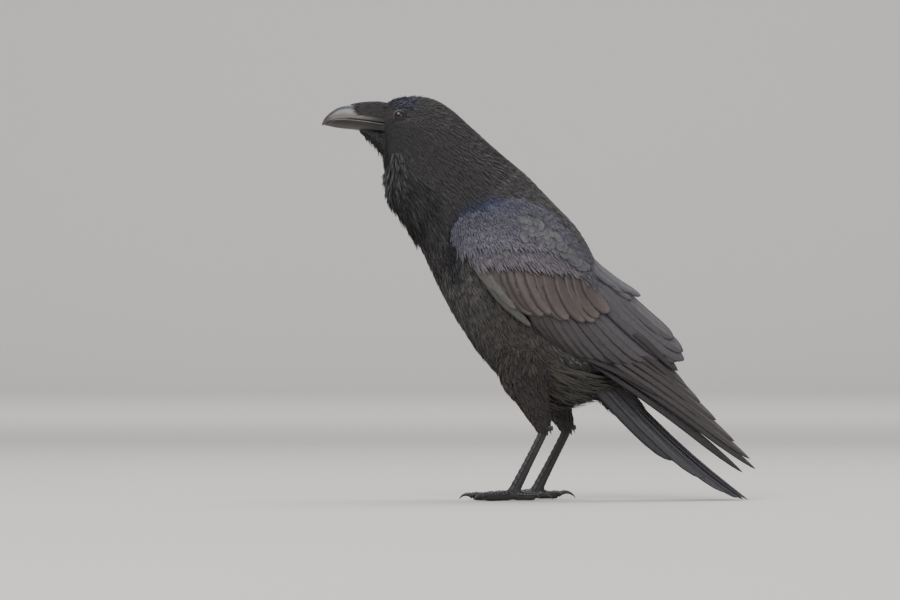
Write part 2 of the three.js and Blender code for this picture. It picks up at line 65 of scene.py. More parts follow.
def spline(knots: Array, place: Array) -> Array:
    """A smooth curve through evenly spaced knots, run straight on past its ends.

    Args:
        knots: the values, one row for each knot.
        place: where to read them, 0 at the first knot and 1 at the second.

    Returns:
        One row of values for each place.
    """
    place = np.asarray(place, float)
    last = len(knots) - 1
    i = np.clip(np.floor(place).astype(int), 0, last - 1)
    before = np.where((i > 0)[..., None], knots[np.maximum(i - 1, 0)], 2 * knots[i] - knots[i + 1])
    after = np.where(
        (i < last - 1)[..., None], knots[np.minimum(i + 2, last)], 2 * knots[i + 1] - knots[i]
    )
    slope_in, slope_out = (knots[i + 1] - before) / 2, (after - knots[i]) / 2
    t = np.clip(place - i, 0, 1)[..., None]
    value = (
        (2 * t**3 - 3 * t**2 + 1) * knots[i]
        + (t**3 - 2 * t**2 + t) * slope_in
        + (3 * t**2 - 2 * t**3) * knots[i + 1]
        + (t**3 - t**2) * slope_out
    )
    past = (place - i)[..., None] - t
    return value + past * np.where(past > 0, slope_out, slope_in)


def smoothstep(low: float, high: float, value: Array) -> Array:
    """0 below low, 1 above high, and a smooth rise between them."""
    t = np.clip((np.asarray(value, float) - low) / (high - low), 0, 1)
    return t * t * (3 - 2 * t)


def table(rows: list[tuple[float, ...]], place: Array) -> Array:
    """Reads a table of (place, value, ...) rows along straight lines, giving one column a value."""
    knots = np.array(rows, float)
    return np.stack([np.interp(place, knots[:, 0], knots[:, k]) for k in range(1, knots.shape[1])], -1)


# ---------------------------------------------------------------- meshes


def mesh_object(name: str, points: Array, faces: Array | list) -> bpy.types.Object:
    """A smooth-shaded object with its place in its mesh."""
    mesh = bpy.data.meshes.new(name)
    mesh.from_pydata(np.asarray(points).reshape(-1, 3).tolist(), [], [list(map(int, f)) for f in faces])
    mesh.polygons.foreach_set("use_smooth", [True] * len(mesh.polygons))
    mesh.update()
    made = bpy.data.objects.new(name, mesh)
    bpy.context.scene.collection.objects.link(made)
    return made


def loft(rings: Array, first: int = 0) -> tuple[Array, list[list[int]]]:
    """A closed skin through rings of points, with a fan on each end.

    Args:
        rings: shape (rings, points, 3), each ring turning clockwise as seen looking along the path.
        first: the number of the first point, where the loft joins others.

    Returns:
        The points and the faces.
    """
    count, size = rings.shape[:2]
    points = np.concatenate([rings.reshape(-1, 3), rings[:1].mean(1), rings[-1:].mean(1)])
    near, far = first + count * size, first + count * size + 1
    faces = []
    for r in range(count - 1):
        for i in range(size):
            a, b = first + r * size + i, first + r * size + (i + 1) % size
            faces.append([a, a + size, b + size, b])
    for i in range(size):
        j = (i + 1) % size
        faces.append([near, first + i, first + j])
        faces.append([far, first + (count - 1) * size + j, first + (count - 1) * size + i])
    return points, faces


class Lofts:
    """Closed lofts gathered into one mesh."""

    def __init__(self) -> None:
        """Starts empty."""
        self.points: list[Array] = []
        self.faces: list[list[int]] = []
        self.count = 0

    def add(self, rings: Array) -> None:
        """Adds a loft, turned so that its faces look outwards."""
        points, faces = loft(rings, self.count)
        local = [[i - self.count for i in f] for f in faces]
        volume = 0.0
        for f in local:
            for k in range(1, len(f) - 1):
                volume += float(np.dot(points[f[0]], np.cross(points[f[k]], points[f[k + 1]])))
        if volume < 0:
            faces = [f[::-1] for f in faces]
        self.points.append(points)
        self.faces += faces
        self.count += len(points)

    def build(self, name: str) -> bpy.types.Object:
        """The gathered mesh as an object."""
        return mesh_object(name, np.concatenate(self.points), self.faces)


def tube_rings(path: Array, radii: Array, level: Array, steps: int, sides: int) -> Array:
    """Oval rings along a path.

    Args:
        path: the knots of the middle line.
        radii: two radii at evenly spaced places, square to level and along it.
        level: the direction that the second radius lies along.
        steps: how many lengths the path is cut into.
        sides: how many points each ring has.

    Returns:
        The rings, shape (steps + 1, sides, 3).
    """
    share = np.linspace(0, 1, steps + 1)
    last = len(path) - 1
    centre = spline(path, share * last)
    ahead = unit(spline(path, share * last + 0.02) - spline(path, share * last - 0.02))
    up = unit(np.cross(level, ahead))
    across = np.cross(ahead, up)
    deep, wide = spline(radii, share * (len(radii) - 1)).T
    turn = np.arange(sides) / sides * 2 * np.pi
    return (
        centre[:, None]
        + up[:, None] * (deep[:, None] * np.cos(turn))[..., None]
        + across[:, None] * (wide[:, None] * np.sin(turn))[..., None]
    )


# ---------------------------------------------------------------- materials


class Shader:
    """One procedural material while its nodes are being joined up."""

    def __init__(self, name: str) -> None:
        """Starts from a Principled surface."""
        self.material = bpy.data.materials.new(name)
        self.material.use_nodes = True
        self.tree = self.material.node_tree
        self.surface = next(n for n in self.tree.nodes if n.type == "BSDF_PRINCIPLED")
        self.object = self.node("ShaderNodeTexCoord").outputs["Object"]

    def node(self, kind: str, inputs: dict | None = None, **settings: object) -> bpy.types.Node:
        """Adds a node, with its settings and its inputs, each a value or another node's output."""
        made = self.tree.nodes.new(kind)
        for key, value in settings.items():
            setattr(made, key, value)
        self.feed(made, inputs or {})
        return made

    def feed(self, node: bpy.types.Node, inputs: dict) -> None:
        """Sets or links a node's inputs by name or number."""
        for key, value in inputs.items():
            if isinstance(value, bpy.types.NodeSocket):
                self.tree.links.new(value, node.inputs[key])
            elif isinstance(value, tuple) and len(value) == 3 and node.inputs[key].type == "RGBA":
                node.inputs[key].default_value = (*value, 1.0)
            else:
                node.inputs[key].default_value = value

    def maths(self, operation: str, a: object, b: object = 0.0, c: object = 0.0) -> bpy.types.NodeSocket:
        """A number worked out from up to three others."""
        made = self.node("ShaderNodeMath", {0: a, 1: b, 2: c}, operation=operation)
        return made.outputs[0]

    def between(self, value: object, low: float, high: float) -> bpy.types.NodeSocket:
        """0 where the value is below low, 1 above high, smooth between."""
        made = self.node(
            "ShaderNodeMapRange",
            {"Value": value, "From Min": low, "From Max": high},
            interpolation_type="SMOOTHSTEP",
        )
        return made.outputs["Result"]

    def mix(self, share: object, a: object, b: object, blend: str = "MIX") -> bpy.types.NodeSocket:
        """A colour part of the way from a to b."""
        made = self.node("ShaderNodeMix", data_type="RGBA", blend_type=blend)
        self.feed(made, {0: share, 6: a, 7: b})
        return made.outputs[2]

    def noise(self, scale: float, detail: float = 3.0, at: object = None) -> bpy.types.NodeSocket:
        """Soft random spots, about 1 / scale metres apart."""
        made = self.node(
            "ShaderNodeTexNoise", {"Vector": at or self.object, "Scale": scale, "Detail": detail}
        )
        return made.outputs["Fac"]

    def stretched(self, factors: tuple[float, float, float]) -> bpy.types.NodeSocket:
        """Object coordinates with each axis scaled."""
        made = self.node("ShaderNodeMapping", {"Vector": self.object, "Scale": factors})
        return made.outputs["Vector"]

    def bump(self, height: object, strength: float, distance: float, under: object = None) -> bpy.types.NodeSocket:
        """A bumped normal."""
        inputs = {"Height": height, "Strength": strength, "Distance": distance}
        if under is not None:
            inputs["Normal"] = under
        return self.node("ShaderNodeBump", inputs).outputs["Normal"]

    def finish(self, inputs: dict) -> bpy.types.Material:
        """Sets the surface's inputs and gives the material."""
        self.feed(self.surface, inputs)
        return self.material


@dataclass(frozen=True)
class FeatherFinish:
    """Black feather with a fine barbed surface and a cold gloss."""

    name: str = "feather"
    roughness: float = 0.46
    gloss_tint: Colour = (0.92, 0.91, 0.97)
    gloss: float = 0.5
    sheen: float = 0.12
    barb_spacing: float = 0.055  # in centimetres, as the vane map is
    barb_lean: float = 0.8
    shaft_breadth: float = 0.035

    def make(self) -> bpy.types.Material:
        """Builds the material, which reads the dye attribute and the vane map."""
        s = Shader(self.name)
        dye = s.node("ShaderNodeAttribute", attribute_name="dye").outputs["Color"]
        vane = s.node("ShaderNodeSeparateXYZ", {0: s.node("ShaderNodeUVMap", uv_map="vane").outputs[0]})
        out = s.maths("ABSOLUTE", vane.outputs[0])
        leaning = s.maths("SUBTRACT", vane.outputs[1], s.maths("MULTIPLY", out, self.barb_lean))
        wave = s.maths("SINE", s.maths("MULTIPLY", leaning, 2 * math.pi / self.barb_spacing))
        clumps = s.noise(900, 2)
        shaft = s.maths("SUBTRACT", 1.0, s.between(out, self.shaft_breadth * 0.4, self.shaft_breadth))
        height = s.maths("ADD", s.maths("MULTIPLY", wave, 0.35), s.maths("MULTIPLY", shaft, 1.6))
        height = s.maths("ADD", height, s.maths("MULTIPLY", clumps, 0.9))
        shade = s.maths("MULTIPLY_ADD", s.noise(260, 3), 0.7, 0.65)
        streak = s.maths("MULTIPLY_ADD", wave, 0.1, 1.0)
        value = s.maths("MULTIPLY", shade, streak)
        toned = s.mix(1.0, dye, s.node("ShaderNodeCombineColor", {0: value, 1: value, 2: value}).outputs[0], "MULTIPLY")
        return s.finish(
            {
                "Base Color": toned,
                "Roughness": s.maths("MULTIPLY_ADD", s.noise(400, 2), 0.16, self.roughness - 0.08),
                "Specular IOR Level": self.gloss,
                "Specular Tint": self.gloss_tint,
                "Sheen Weight": self.sheen,
                "Sheen Roughness": 0.4,
                "Sheen Tint": (0.8, 0.78, 0.82),
                "Normal": s.bump(height, 0.35, 0.0003),
            }
        )


@dataclass(frozen=True)
class SkinFinish:
    """Dark skin, hidden by feathers on the body and bare and leathery on the legs."""

    name: str = "skin"
    under_feathers: Colour = (0.012, 0.012, 0.013)
    bare: Colour = (0.022, 0.022, 0.025)
    worn: Colour = (0.06, 0.058, 0.06)
    bare_below: float = 0.085

    def make(self) -> bpy.types.Material:
        """Builds the material."""
        s = Shader(self.name)
        height = s.node("ShaderNodeSeparateXYZ", {0: s.object}).outputs[2]
        feathered = s.between(height, self.bare_below - 0.006, self.bare_below + 0.006)
        cells = s.node("ShaderNodeTexVoronoi", {"Vector": s.object, "Scale": 520.0}).outputs["Distance"]
        colour = s.mix(feathered, self.bare, self.under_feathers)
        worn = s.maths("MULTIPLY", s.noise(240, 4), s.maths("MULTIPLY_ADD", feathered, -0.3, 0.3))
        return s.finish(
            {
                "Base Color": s.mix(worn, colour, self.worn),
                "Roughness": s.maths("MULTIPLY_ADD", feathered, 0.3, 0.45),
                "Specular IOR Level": 0.3,
                "Normal": s.bump(cells, 0.55, 0.0006),
            }
        )


@dataclass(frozen=True)
class ScaleFinish:
    """The hard scales of the shank and toes."""

    name: str = "leg_scale"
    colour: Colour = (0.026, 0.026, 0.03)
    worn: Colour = (0.075, 0.073, 0.078)

    def make(self) -> bpy.types.Material:
        """Builds the material."""
        s = Shader(self.name)
        worn = s.maths("MULTIPLY", s.between(s.noise(420, 4), 0.5, 0.78), 0.75)
        return s.finish(
            {
                "Base Color": s.mix(worn, self.colour, self.worn),
                "Roughness": s.maths("MULTIPLY_ADD", s.noise(500, 3), 0.25, 0.3),
                "Specular IOR Level": 0.5,
                "Normal": s.bump(s.noise(900, 3), 0.3, 0.0004),
            }
        )


@dataclass(frozen=True)
class HornFinish:
    """Polished horn, streaked along its length, as on the bill and claws."""

    name: str
    colour: Colour
    pale: Colour
    roughness: float = 0.3
    dyed: bool = False  # whether its mesh holds colours that these two shade

    def make(self) -> bpy.types.Material:
        """Builds the material."""
        s = Shader(self.name)
        streaks = s.noise(1.0, 4, s.stretched((60, 500, 700)))
        colour = s.mix(s.between(streaks, 0.35, 0.75), self.colour, self.pale)
        if self.dyed:
            dye = s.node("ShaderNodeAttribute", attribute_name="dye").outputs["Color"]
            colour = s.mix(1.0, dye, colour, "MULTIPLY")
        return s.finish(
            {
                "Base Color": colour,
                "Roughness": s.maths("MULTIPLY_ADD", s.noise(300, 3), 0.18, self.roughness - 0.09),
                "Specular IOR Level": 0.5,
                "Coat Weight": 0.15,
                "Coat Roughness": 0.25,
                "Normal": s.bump(streaks, 0.25, 0.0003),
            }
        )


@dataclass(frozen=True)
class EyeFinish:
    """A wet eye with a dark brown iris and a black pupil."""

    name: str
    centre: tuple[float, float, float]
    gaze: tuple[float, float, float]
    dark: Colour = (0.008, 0.004, 0.003)
    light: Colour = (0.026, 0.014, 0.009)
    pupil: float = 0.0026
    iris: float = 0.0056

    def make(self) -> bpy.types.Material:
        """Builds the material from the distance to the line of sight."""
        s = Shader(self.name)
        local = s.node("ShaderNodeVectorMath", {0: s.object, 1: self.centre}, operation="SUBTRACT").outputs[0]
        off = s.node("ShaderNodeVectorMath", {0: local, 1: self.gaze}, operation="CROSS_PRODUCT").outputs[0]
        radius = s.node("ShaderNodeVectorMath", {0: off}, operation="LENGTH").outputs["Value"]
        rays = s.maths("MULTIPLY_ADD", s.noise(1600, 3), 0.6, 0.6)
        brown = s.mix(s.between(rays, 0.6, 1.1), self.dark, self.light)
        white = s.between(radius, self.iris - 0.0004, self.iris)
        colour = s.mix(white, brown, (0.004, 0.004, 0.004))
        pupil = s.between(radius, self.pupil - 0.0003, self.pupil + 0.0003)
        colour = s.mix(pupil, (0.002, 0.002, 0.002), colour)
        return s.finish(
            {
                "Base Color": colour,
                "Roughness": 0.2,
                "Specular IOR Level": 0.2,
                "Coat Weight": 0.55,
                "Coat Roughness": 0.03,
            }
        )


@dataclass(frozen=True)
class StageFinish:
    """Plain pale paper."""

    name: str = "paper"
    colour: Colour = (0.62, 0.6, 0.58)

    def make(self) -> bpy.types.Material:
        """Builds the material."""
        s = Shader(self.name)
        tone = s.mix(s.noise(0.6, 2), self.colour, tuple(c * 0.97 for c in self.colour))
        return s.finish({"Base Color": tone, "Roughness": 0.9, "Specular IOR Level": 0.2})


# ---------------------------------------------------------------- surfaces that feathers lie on


class Sheet:
    """A surface with two coordinates, u along the lie of the feathers and v across it."""

    reach = (1e-3, 1e-3)  # steps in u and v for measuring slopes
    outward = 1.0  # -1 where u across v points inwards

    def at(self, u: Array, v: Array) -> Array:
        """The points at u and v."""
        raise NotImplementedError

    def patch(self, u: Array, v: Array) -> Array:
        """Where u and v lie on the unwrap of the surface, from 0 to 1."""
        raise NotImplementedError

    def slopes(self, u: Array, v: Array) -> tuple[Array, Array, Array]:
        """The change of place with u, the change with v, and the outward normal."""
        a, b = self.reach
        along = (self.at(u + a, v) - self.at(u - a, v)) / (2 * a)
        across = (self.at(u, v + b) - self.at(u, v - b)) / (2 * b)
        return along, across, unit(np.cross(along, across)) * self.outward

    def heading(self, along: Array, across: Array, turn: Array) -> tuple[Array, Array]:
        """Steps in u and v that lead along a direction turned from u towards v."""
        return (
            np.cos(turn) / np.linalg.norm(along, axis=-1),
            np.sin(turn) / np.linalg.norm(across, axis=-1),
        )

    def beside(self, u: Array, v: Array, turn: Array, distance: Array) -> tuple[Array, Array]:
        """The places at a distance to the side of u and v, seen along the turned lie."""
        return u, v + distance / np.linalg.norm(self.slopes(u, v)[1], axis=1)

    def march(self, u: Array, v: Array, length: Array, turn: Array, shares: Array) -> tuple[Array, Array]:
        """Follows the surface from each root.

        Args:
            u: the roots' places along the lie.
            v: the roots' places across it.
            length: how far each feather goes.
            turn: its direction, in radians from the lie.
            shares: the shares of the length to stop at.

        Returns:
            The points and the normals, each of shape (feathers, shares, 3).
        """
        u, v = np.array(u, float), np.array(v, float)
        points, normals, done = [], [], 0.0
        for share in shares:
            if share > done:
                along, across, _ = self.slopes(u, v)
                du, dv = self.heading(along, across, turn)
                pace = np.linalg.norm(along * du[:, None] + across * dv[:, None], axis=-1)
                ahead = (share - done) * length / pace
                u, v, done = u + du * ahead, v + dv * ahead, share
            points.append(self.at(u, v))
            normals.append(self.slopes(u, v)[2])
        return np.stack(points, 1), np.stack(normals, 1)


# Sections of head, neck and trunk: back x z, belly x z, half breadth.
BODY = mm([
    (-160, 417, -162, 367.5, 13.5),
    (-147.5, 421.6, -161.7, 355.9, 20.5),
    (-128.6, 423.7, -160.1, 342.3, 26),
    (-109.7, 420.5, -158, 326.6, 29.5),
    (-91.9, 410, -152.8, 310.3, 33),
    (-69.8, 390.6, -142.3, 296.1, 38.5),
    (-43.6, 367, -127.6, 274.1, 46),
    (-14.2, 341.8, -112.4, 243.1, 54),
    (12.1, 315, -96.6, 207.9, 60),
    (41, 284, -77.7, 176.4, 62),
    (60, 249.9, -54.1, 143.8, 60),
    (76, 213, -22.6, 116.6, 51),
    (84, 180.6, 19.4, 106.1, 37),
    (86, 157, 54, 114, 22),
])
BODY_SQUARENESS = 2.15


class BodySheet(Sheet):
    """Head, neck and trunk. u counts sections from the bill, v is the share of a turn from the back."""

    def at(self, u: Array, v: Array) -> Array:
        """The points at u and v."""
        back_x, back_z, belly_x, belly_z, half = np.moveaxis(spline(BODY, u), -1, 0)
        power = 2 / BODY_SQUARENESS
        rise, side = np.cos(2 * np.pi * v), np.sin(2 * np.pi * v)
        rise = np.sign(rise) * np.abs(rise) ** power
        side = np.sign(side) * np.abs(side) ** power
        x = (back_x + belly_x) / 2 + (back_x - belly_x) / 2 * rise
        z = (back_z + belly_z) / 2 + (back_z - belly_z) / 2 * rise
        return np.stack([x, np.maximum(half, 0) * side, z], -1)

    def patch(self, u: Array, v: Array) -> Array:
        """Where u and v lie on the unwrap."""
        return np.stack([0.02 + 0.96 * (v % 1), 0.02 + 0.94 * np.clip(u / (len(BODY) - 1), 0, 1)], -1)


# Sections of the folded wing: upper edge, crest and lower edge, each as x, y outwards, z.
WING = mm([
    [(-86, 42, 292), (-88, 47.5, 285), (-87.5, 44, 277)],
    [(-72, 34, 303), (-79, 57, 281), (-81, 51, 258)],
    [(-46, 31, 312), (-59, 66, 270), (-67, 58, 232)],
    [(-8, 24, 306), (-32, 71, 249), (-47, 61, 203.5)],
    [(38, 10, 284), (1.6, 69.5, 223), (-25, 59.5, 186)],
    [(70.5, 3, 254), (31, 61.5, 197.5), (1.6, 54, 168)],
    [(110.5, 1, 214.5), (66, 47, 168), (24.7, 46.5, 154.3)],
    [(139.5, 1, 181), (97, 33, 149), (46.7, 38.5, 143.8)],
    [(153.5, 2.5, 148), (118, 23, 137), (67, 31, 138)],
])


def wing_surface(length: Array, across: Array) -> Array:
    """Points on the right wing's outer surface, by shares of its length and breadth."""
    upper, crest, lower = np.moveaxis(
        spline(WING.reshape(len(WING), 9), length * (len(WING) - 1)).reshape(*length.shape, 3, 3), -2, 0
    )
    bend = 2 * crest - (upper + lower) / 2
    c = across[..., None]
    return (1 - c) ** 2 * upper + 2 * c * (1 - c) * bend + c**2 * lower


class Relief:
    """How far out a surface stands over each point of the side view."""

    pitch = 0.0015
    low = np.array([-0.21, 0.06])
    size = (280, 260)
    rim = 6  # cells between the outline and the inner part

    def __init__(self, *clouds: Array, smoothing: int = 6) -> None:
        """Takes the outermost of the clouds' points, fills round them and smooths the result."""
        field_ = np.full(self.size, -1.0)
        for cloud in clouds:
            i, k = np.round((cloud[:, [0, 2]] - self.low) / self.pitch).astype(int).T
            keep = (i >= 0) & (i < self.size[0]) & (k >= 0) & (k < self.size[1])
            np.maximum.at(field_, (i[keep], k[keep]), cloud[keep, 1])
        known = field_ > -1.0
        self.inner = known
        for _ in range(self.rim):
            self.inner = self._shifts(self.inner).all(0)
        field_ = self._spread(np.where(known, field_, np.nan))
        for _ in range(smoothing):
            field_ = self._blur(field_)
        self.field = field_

    @staticmethod
    def _shifts(values: Array) -> Array:
        """The values and their neighbours on all sides."""
        wide = np.pad(values, 1, mode="edge")
        return np.stack([wide[1:-1, 1:-1], wide[:-2, 1:-1], wide[2:, 1:-1], wide[1:-1, :-2], wide[1:-1, 2:]])

    def _spread(self, values: Array) -> Array:
        """Fills empty cells from their neighbours, a ring at a time."""
        while np.isnan(values).any():
            near = self._shifts(values)
            count = (~np.isnan(near)).sum(0)
            mean = np.where(count > 0, np.nansum(near, 0) / np.maximum(count, 1), np.nan)
            values = np.where(np.isnan(values), mean - 0.0006, values)
        return values

    def _blur(self, values: Array) -> Array:
        """Mixes each cell with its neighbours."""
        return self._shifts(values).mean(0)

    def read(self, x: Array, z: Array) -> Array:
        """The reach outwards at places in the side view."""
        a = np.clip((x - self.low[0]) / self.pitch, 0, self.size[0] - 1.001)
        b = np.clip((z - self.low[1]) / self.pitch, 0, self.size[1] - 1.001)
        i, k = a.astype(int), b.astype(int)
        s, t = a - i, b - k
        f = self.field
        return (
            f[i, k] * (1 - s) * (1 - t) + f[i + 1, k] * s * (1 - t)
            + f[i, k + 1] * (1 - s) * t + f[i + 1, k + 1] * s * t
        )


class FlankSheet(Sheet):
    """A side of the bird as a relief over the side view. u is x and v is z, both in metres."""

    reach = (0.0025, 0.0025)

    def __init__(self, relief: Relief, side: float) -> None:
        """Takes the relief and the side that it is on."""
        self.relief, self.side, self.outward = relief, side, -side

    def at(self, u: Array, v: Array) -> Array:
        """The points at u and v."""
        return np.stack([u, self.side * self.relief.read(u, v), v], -1)

    def patch(self, u: Array, v: Array) -> Array:
        """Where u and v lie on the unwrap, with the breadth of the side kept."""
        span = np.array(self.relief.size) * self.relief.pitch
        return np.clip((np.stack([u, v], -1) - self.relief.low) / span, 0, 1) * 0.96 + 0.02

    def heading(self, along: Array, across: Array, turn: Array) -> tuple[Array, Array]:
        """Steps that lead along a direction in the side view, turned downwards from the tail's way."""
        return np.cos(turn), -np.sin(turn)

    def beside(self, u: Array, v: Array, turn: Array, distance: Array) -> tuple[Array, Array]:
        """The places at a distance to the side, square to the turned direction."""
        return u - distance * np.sin(turn), v - distance * np.cos(turn)

    def between(self, root: Array, tip: Array, sag: Array, shares: Array) -> tuple[Array, Array]:
        """Lines over the surface between two places in the side view.

        Args:
            root: the roots as x and z.
            tip: the tips as x and z.
            sag: how far each line's middle bows to its lower left, in metres.
            shares: the shares of the length to stop at.

        Returns:
            The points and the normals, each of shape (feathers, shares, 3).
        """
        way = tip - root
        bow = unit(np.stack([way[:, 1], -way[:, 0]], -1)) * np.asarray(sag)[:, None]
        s = shares[None, :, None]
        flat = root[:, None] + way[:, None] * s + bow[:, None] * 4 * s * (1 - s)
        u, v = flat[..., 0], flat[..., 1]
        return self.at(u, v), self.slopes(u, v)[2]


# ---------------------------------------------------------------- feathers


@dataclass(frozen=True)
class FeatherForm:
    """The outline and section of one kind of feather."""

    outline: tuple[tuple[float, float], ...]  # share of the length, share of the half breadth
    section: tuple[tuple[float, float], ...]  # across, above, in half breadths and thicknesses
    thickness: float
    camber: float = 0.25
    rise: float = 0.8  # under 1 lifts the feather's middle early
    fringe: float = 1.5  # over 1 keeps the tip's colour near the tip

    @property
    def shares(self) -> Array:
        """Where the rings are, as shares of the length."""
        return np.array([a for a, _ in self.outline])

    @property
    def widths(self) -> Array:
        """The half breadth at each ring."""
        return np.array([b for _, b in self.outline])


SMALL_SECTION = ((-1, 0), (0, 1), (1, 0), (0, -0.4))
BROAD_SECTION = ((-1, 0), (-0.5, 0.7), (0, 1), (0.5, 0.7), (1, 0), (0, -0.5))
QUILL_SECTION = ((-1, 0), (-0.7, 0.5), (-0.34, 0.7), (-0.27, 1.5), (-0.2, 0.7), (0.4, 0.6), (1, 0), (-0.2, -0.8))
DOWNY_OUTLINE = ((0, 0.5), (0.3, 0.95), (0.6, 0.9), (0.85, 0.5), (1, 0.06))
POINTED_OUTLINE = ((0, 0.4), (0.25, 0.95), (0.5, 1), (0.75, 0.62), (1, 0.05))
HAIR_OUTLINE = ((0, 1), (0.4, 0.9), (0.75, 0.6), (1, 0.12))
VANE_OUTLINE = (
    (0, 0.22), (0.07, 0.5), (0.18, 0.8), (0.32, 0.95), (0.48, 1), (0.64, 1), (0.78, 0.96),
    (0.87, 0.86), (0.93, 0.7), (0.97, 0.48), (1, 0.12),
)
BLADE_OUTLINE = (
    (0, 0.25), (0.06, 0.5), (0.14, 0.75), (0.26, 0.92), (0.4, 1), (0.55, 1), (0.68, 0.97),
    (0.79, 0.85), (0.88, 0.66), (0.94, 0.46), (0.98, 0.26), (1, 0.06),
)

STRAND = FeatherForm(DOWNY_OUTLINE, SMALL_SECTION, 0.00028, camber=0.2)
MOTTLED = FeatherForm(DOWNY_OUTLINE, SMALL_SECTION, 0.00028, camber=0.2, fringe=3)
LOOSE = FeatherForm(POINTED_OUTLINE, SMALL_SECTION, 0.0003, camber=0.25)
HACKLE = FeatherForm(POINTED_OUTLINE, SMALL_SECTION, 0.0005, camber=0.3, rise=1.5)
BRISTLE = FeatherForm(HAIR_OUTLINE, SMALL_SECTION, 0.0003, camber=0.1)
COVERT = FeatherForm(VANE_OUTLINE, BROAD_SECTION, 0.0005, camber=0.08, fringe=9)
QUILL = FeatherForm(VANE_OUTLINE, QUILL_SECTION, 0.0009, camber=0.12)
BLADE = FeatherForm(BLADE_OUTLINE, QUILL_SECTION, 0.0011, camber=0.1)


def store_dye(mesh: bpy.types.Mesh, dye: Array) -> None:
    """Keeps a colour for each point of a mesh, for its material to read."""
    colours = mesh.color_attributes.new("dye", "FLOAT_COLOR", "POINT")
    colours.data.foreach_set("color", np.concatenate([dye, np.ones((len(dye), 1))], 1).ravel())


@dataclass
class Bed:
    """Roots of like feathers on a surface, with what each grows to."""

    sheet: Sheet
    u: Array
    v: Array
    length: Array
    turn: Array
    breadth: Array
    low: Array  # the root's height over the surface
    lift: Array  # the tip's height over the surface
    dye: Array
    tip: float = 1.2  # the tip's lightness as a share of the root's
    strands: int = 1
    fan: float = 0.2  # how far the outer strands turn out
    strand_breadth: float = 1.5  # over 1 lets the strands overlap

    def parted(self, rng: np.random.Generator) -> "Bed":
        """The bed with each feather parted into strands that fan out to a round tip."""
        count, n = len(self.u), self.strands
        u, v, length, turn, breadth, low, lift = (
            np.repeat(a, n) for a in (self.u, self.v, self.length, self.turn, self.breadth, self.low, self.lift)
        )
        fan = np.tile(np.linspace(-1, 1, n), count)
        u, v = self.sheet.beside(u, v, turn, fan * breadth * 0.18)
        turn = turn + fan * self.fan + rng.normal(0, 0.05, len(u))
        lift = lift - mm(0.35) * fan**2 + mm(rng.normal(0, 0.12, len(u)))
        length = length * (1 - 0.24 * fan**2) * rng.uniform(0.86, 1.06, len(u))
        dye = np.repeat(self.dye, n, axis=0) * np.exp(rng.normal(0, 0.08, (len(u), 1)))
        return Bed(self.sheet, u, v, length, turn, breadth / n * self.strand_breadth, low, lift, dye, self.tip)


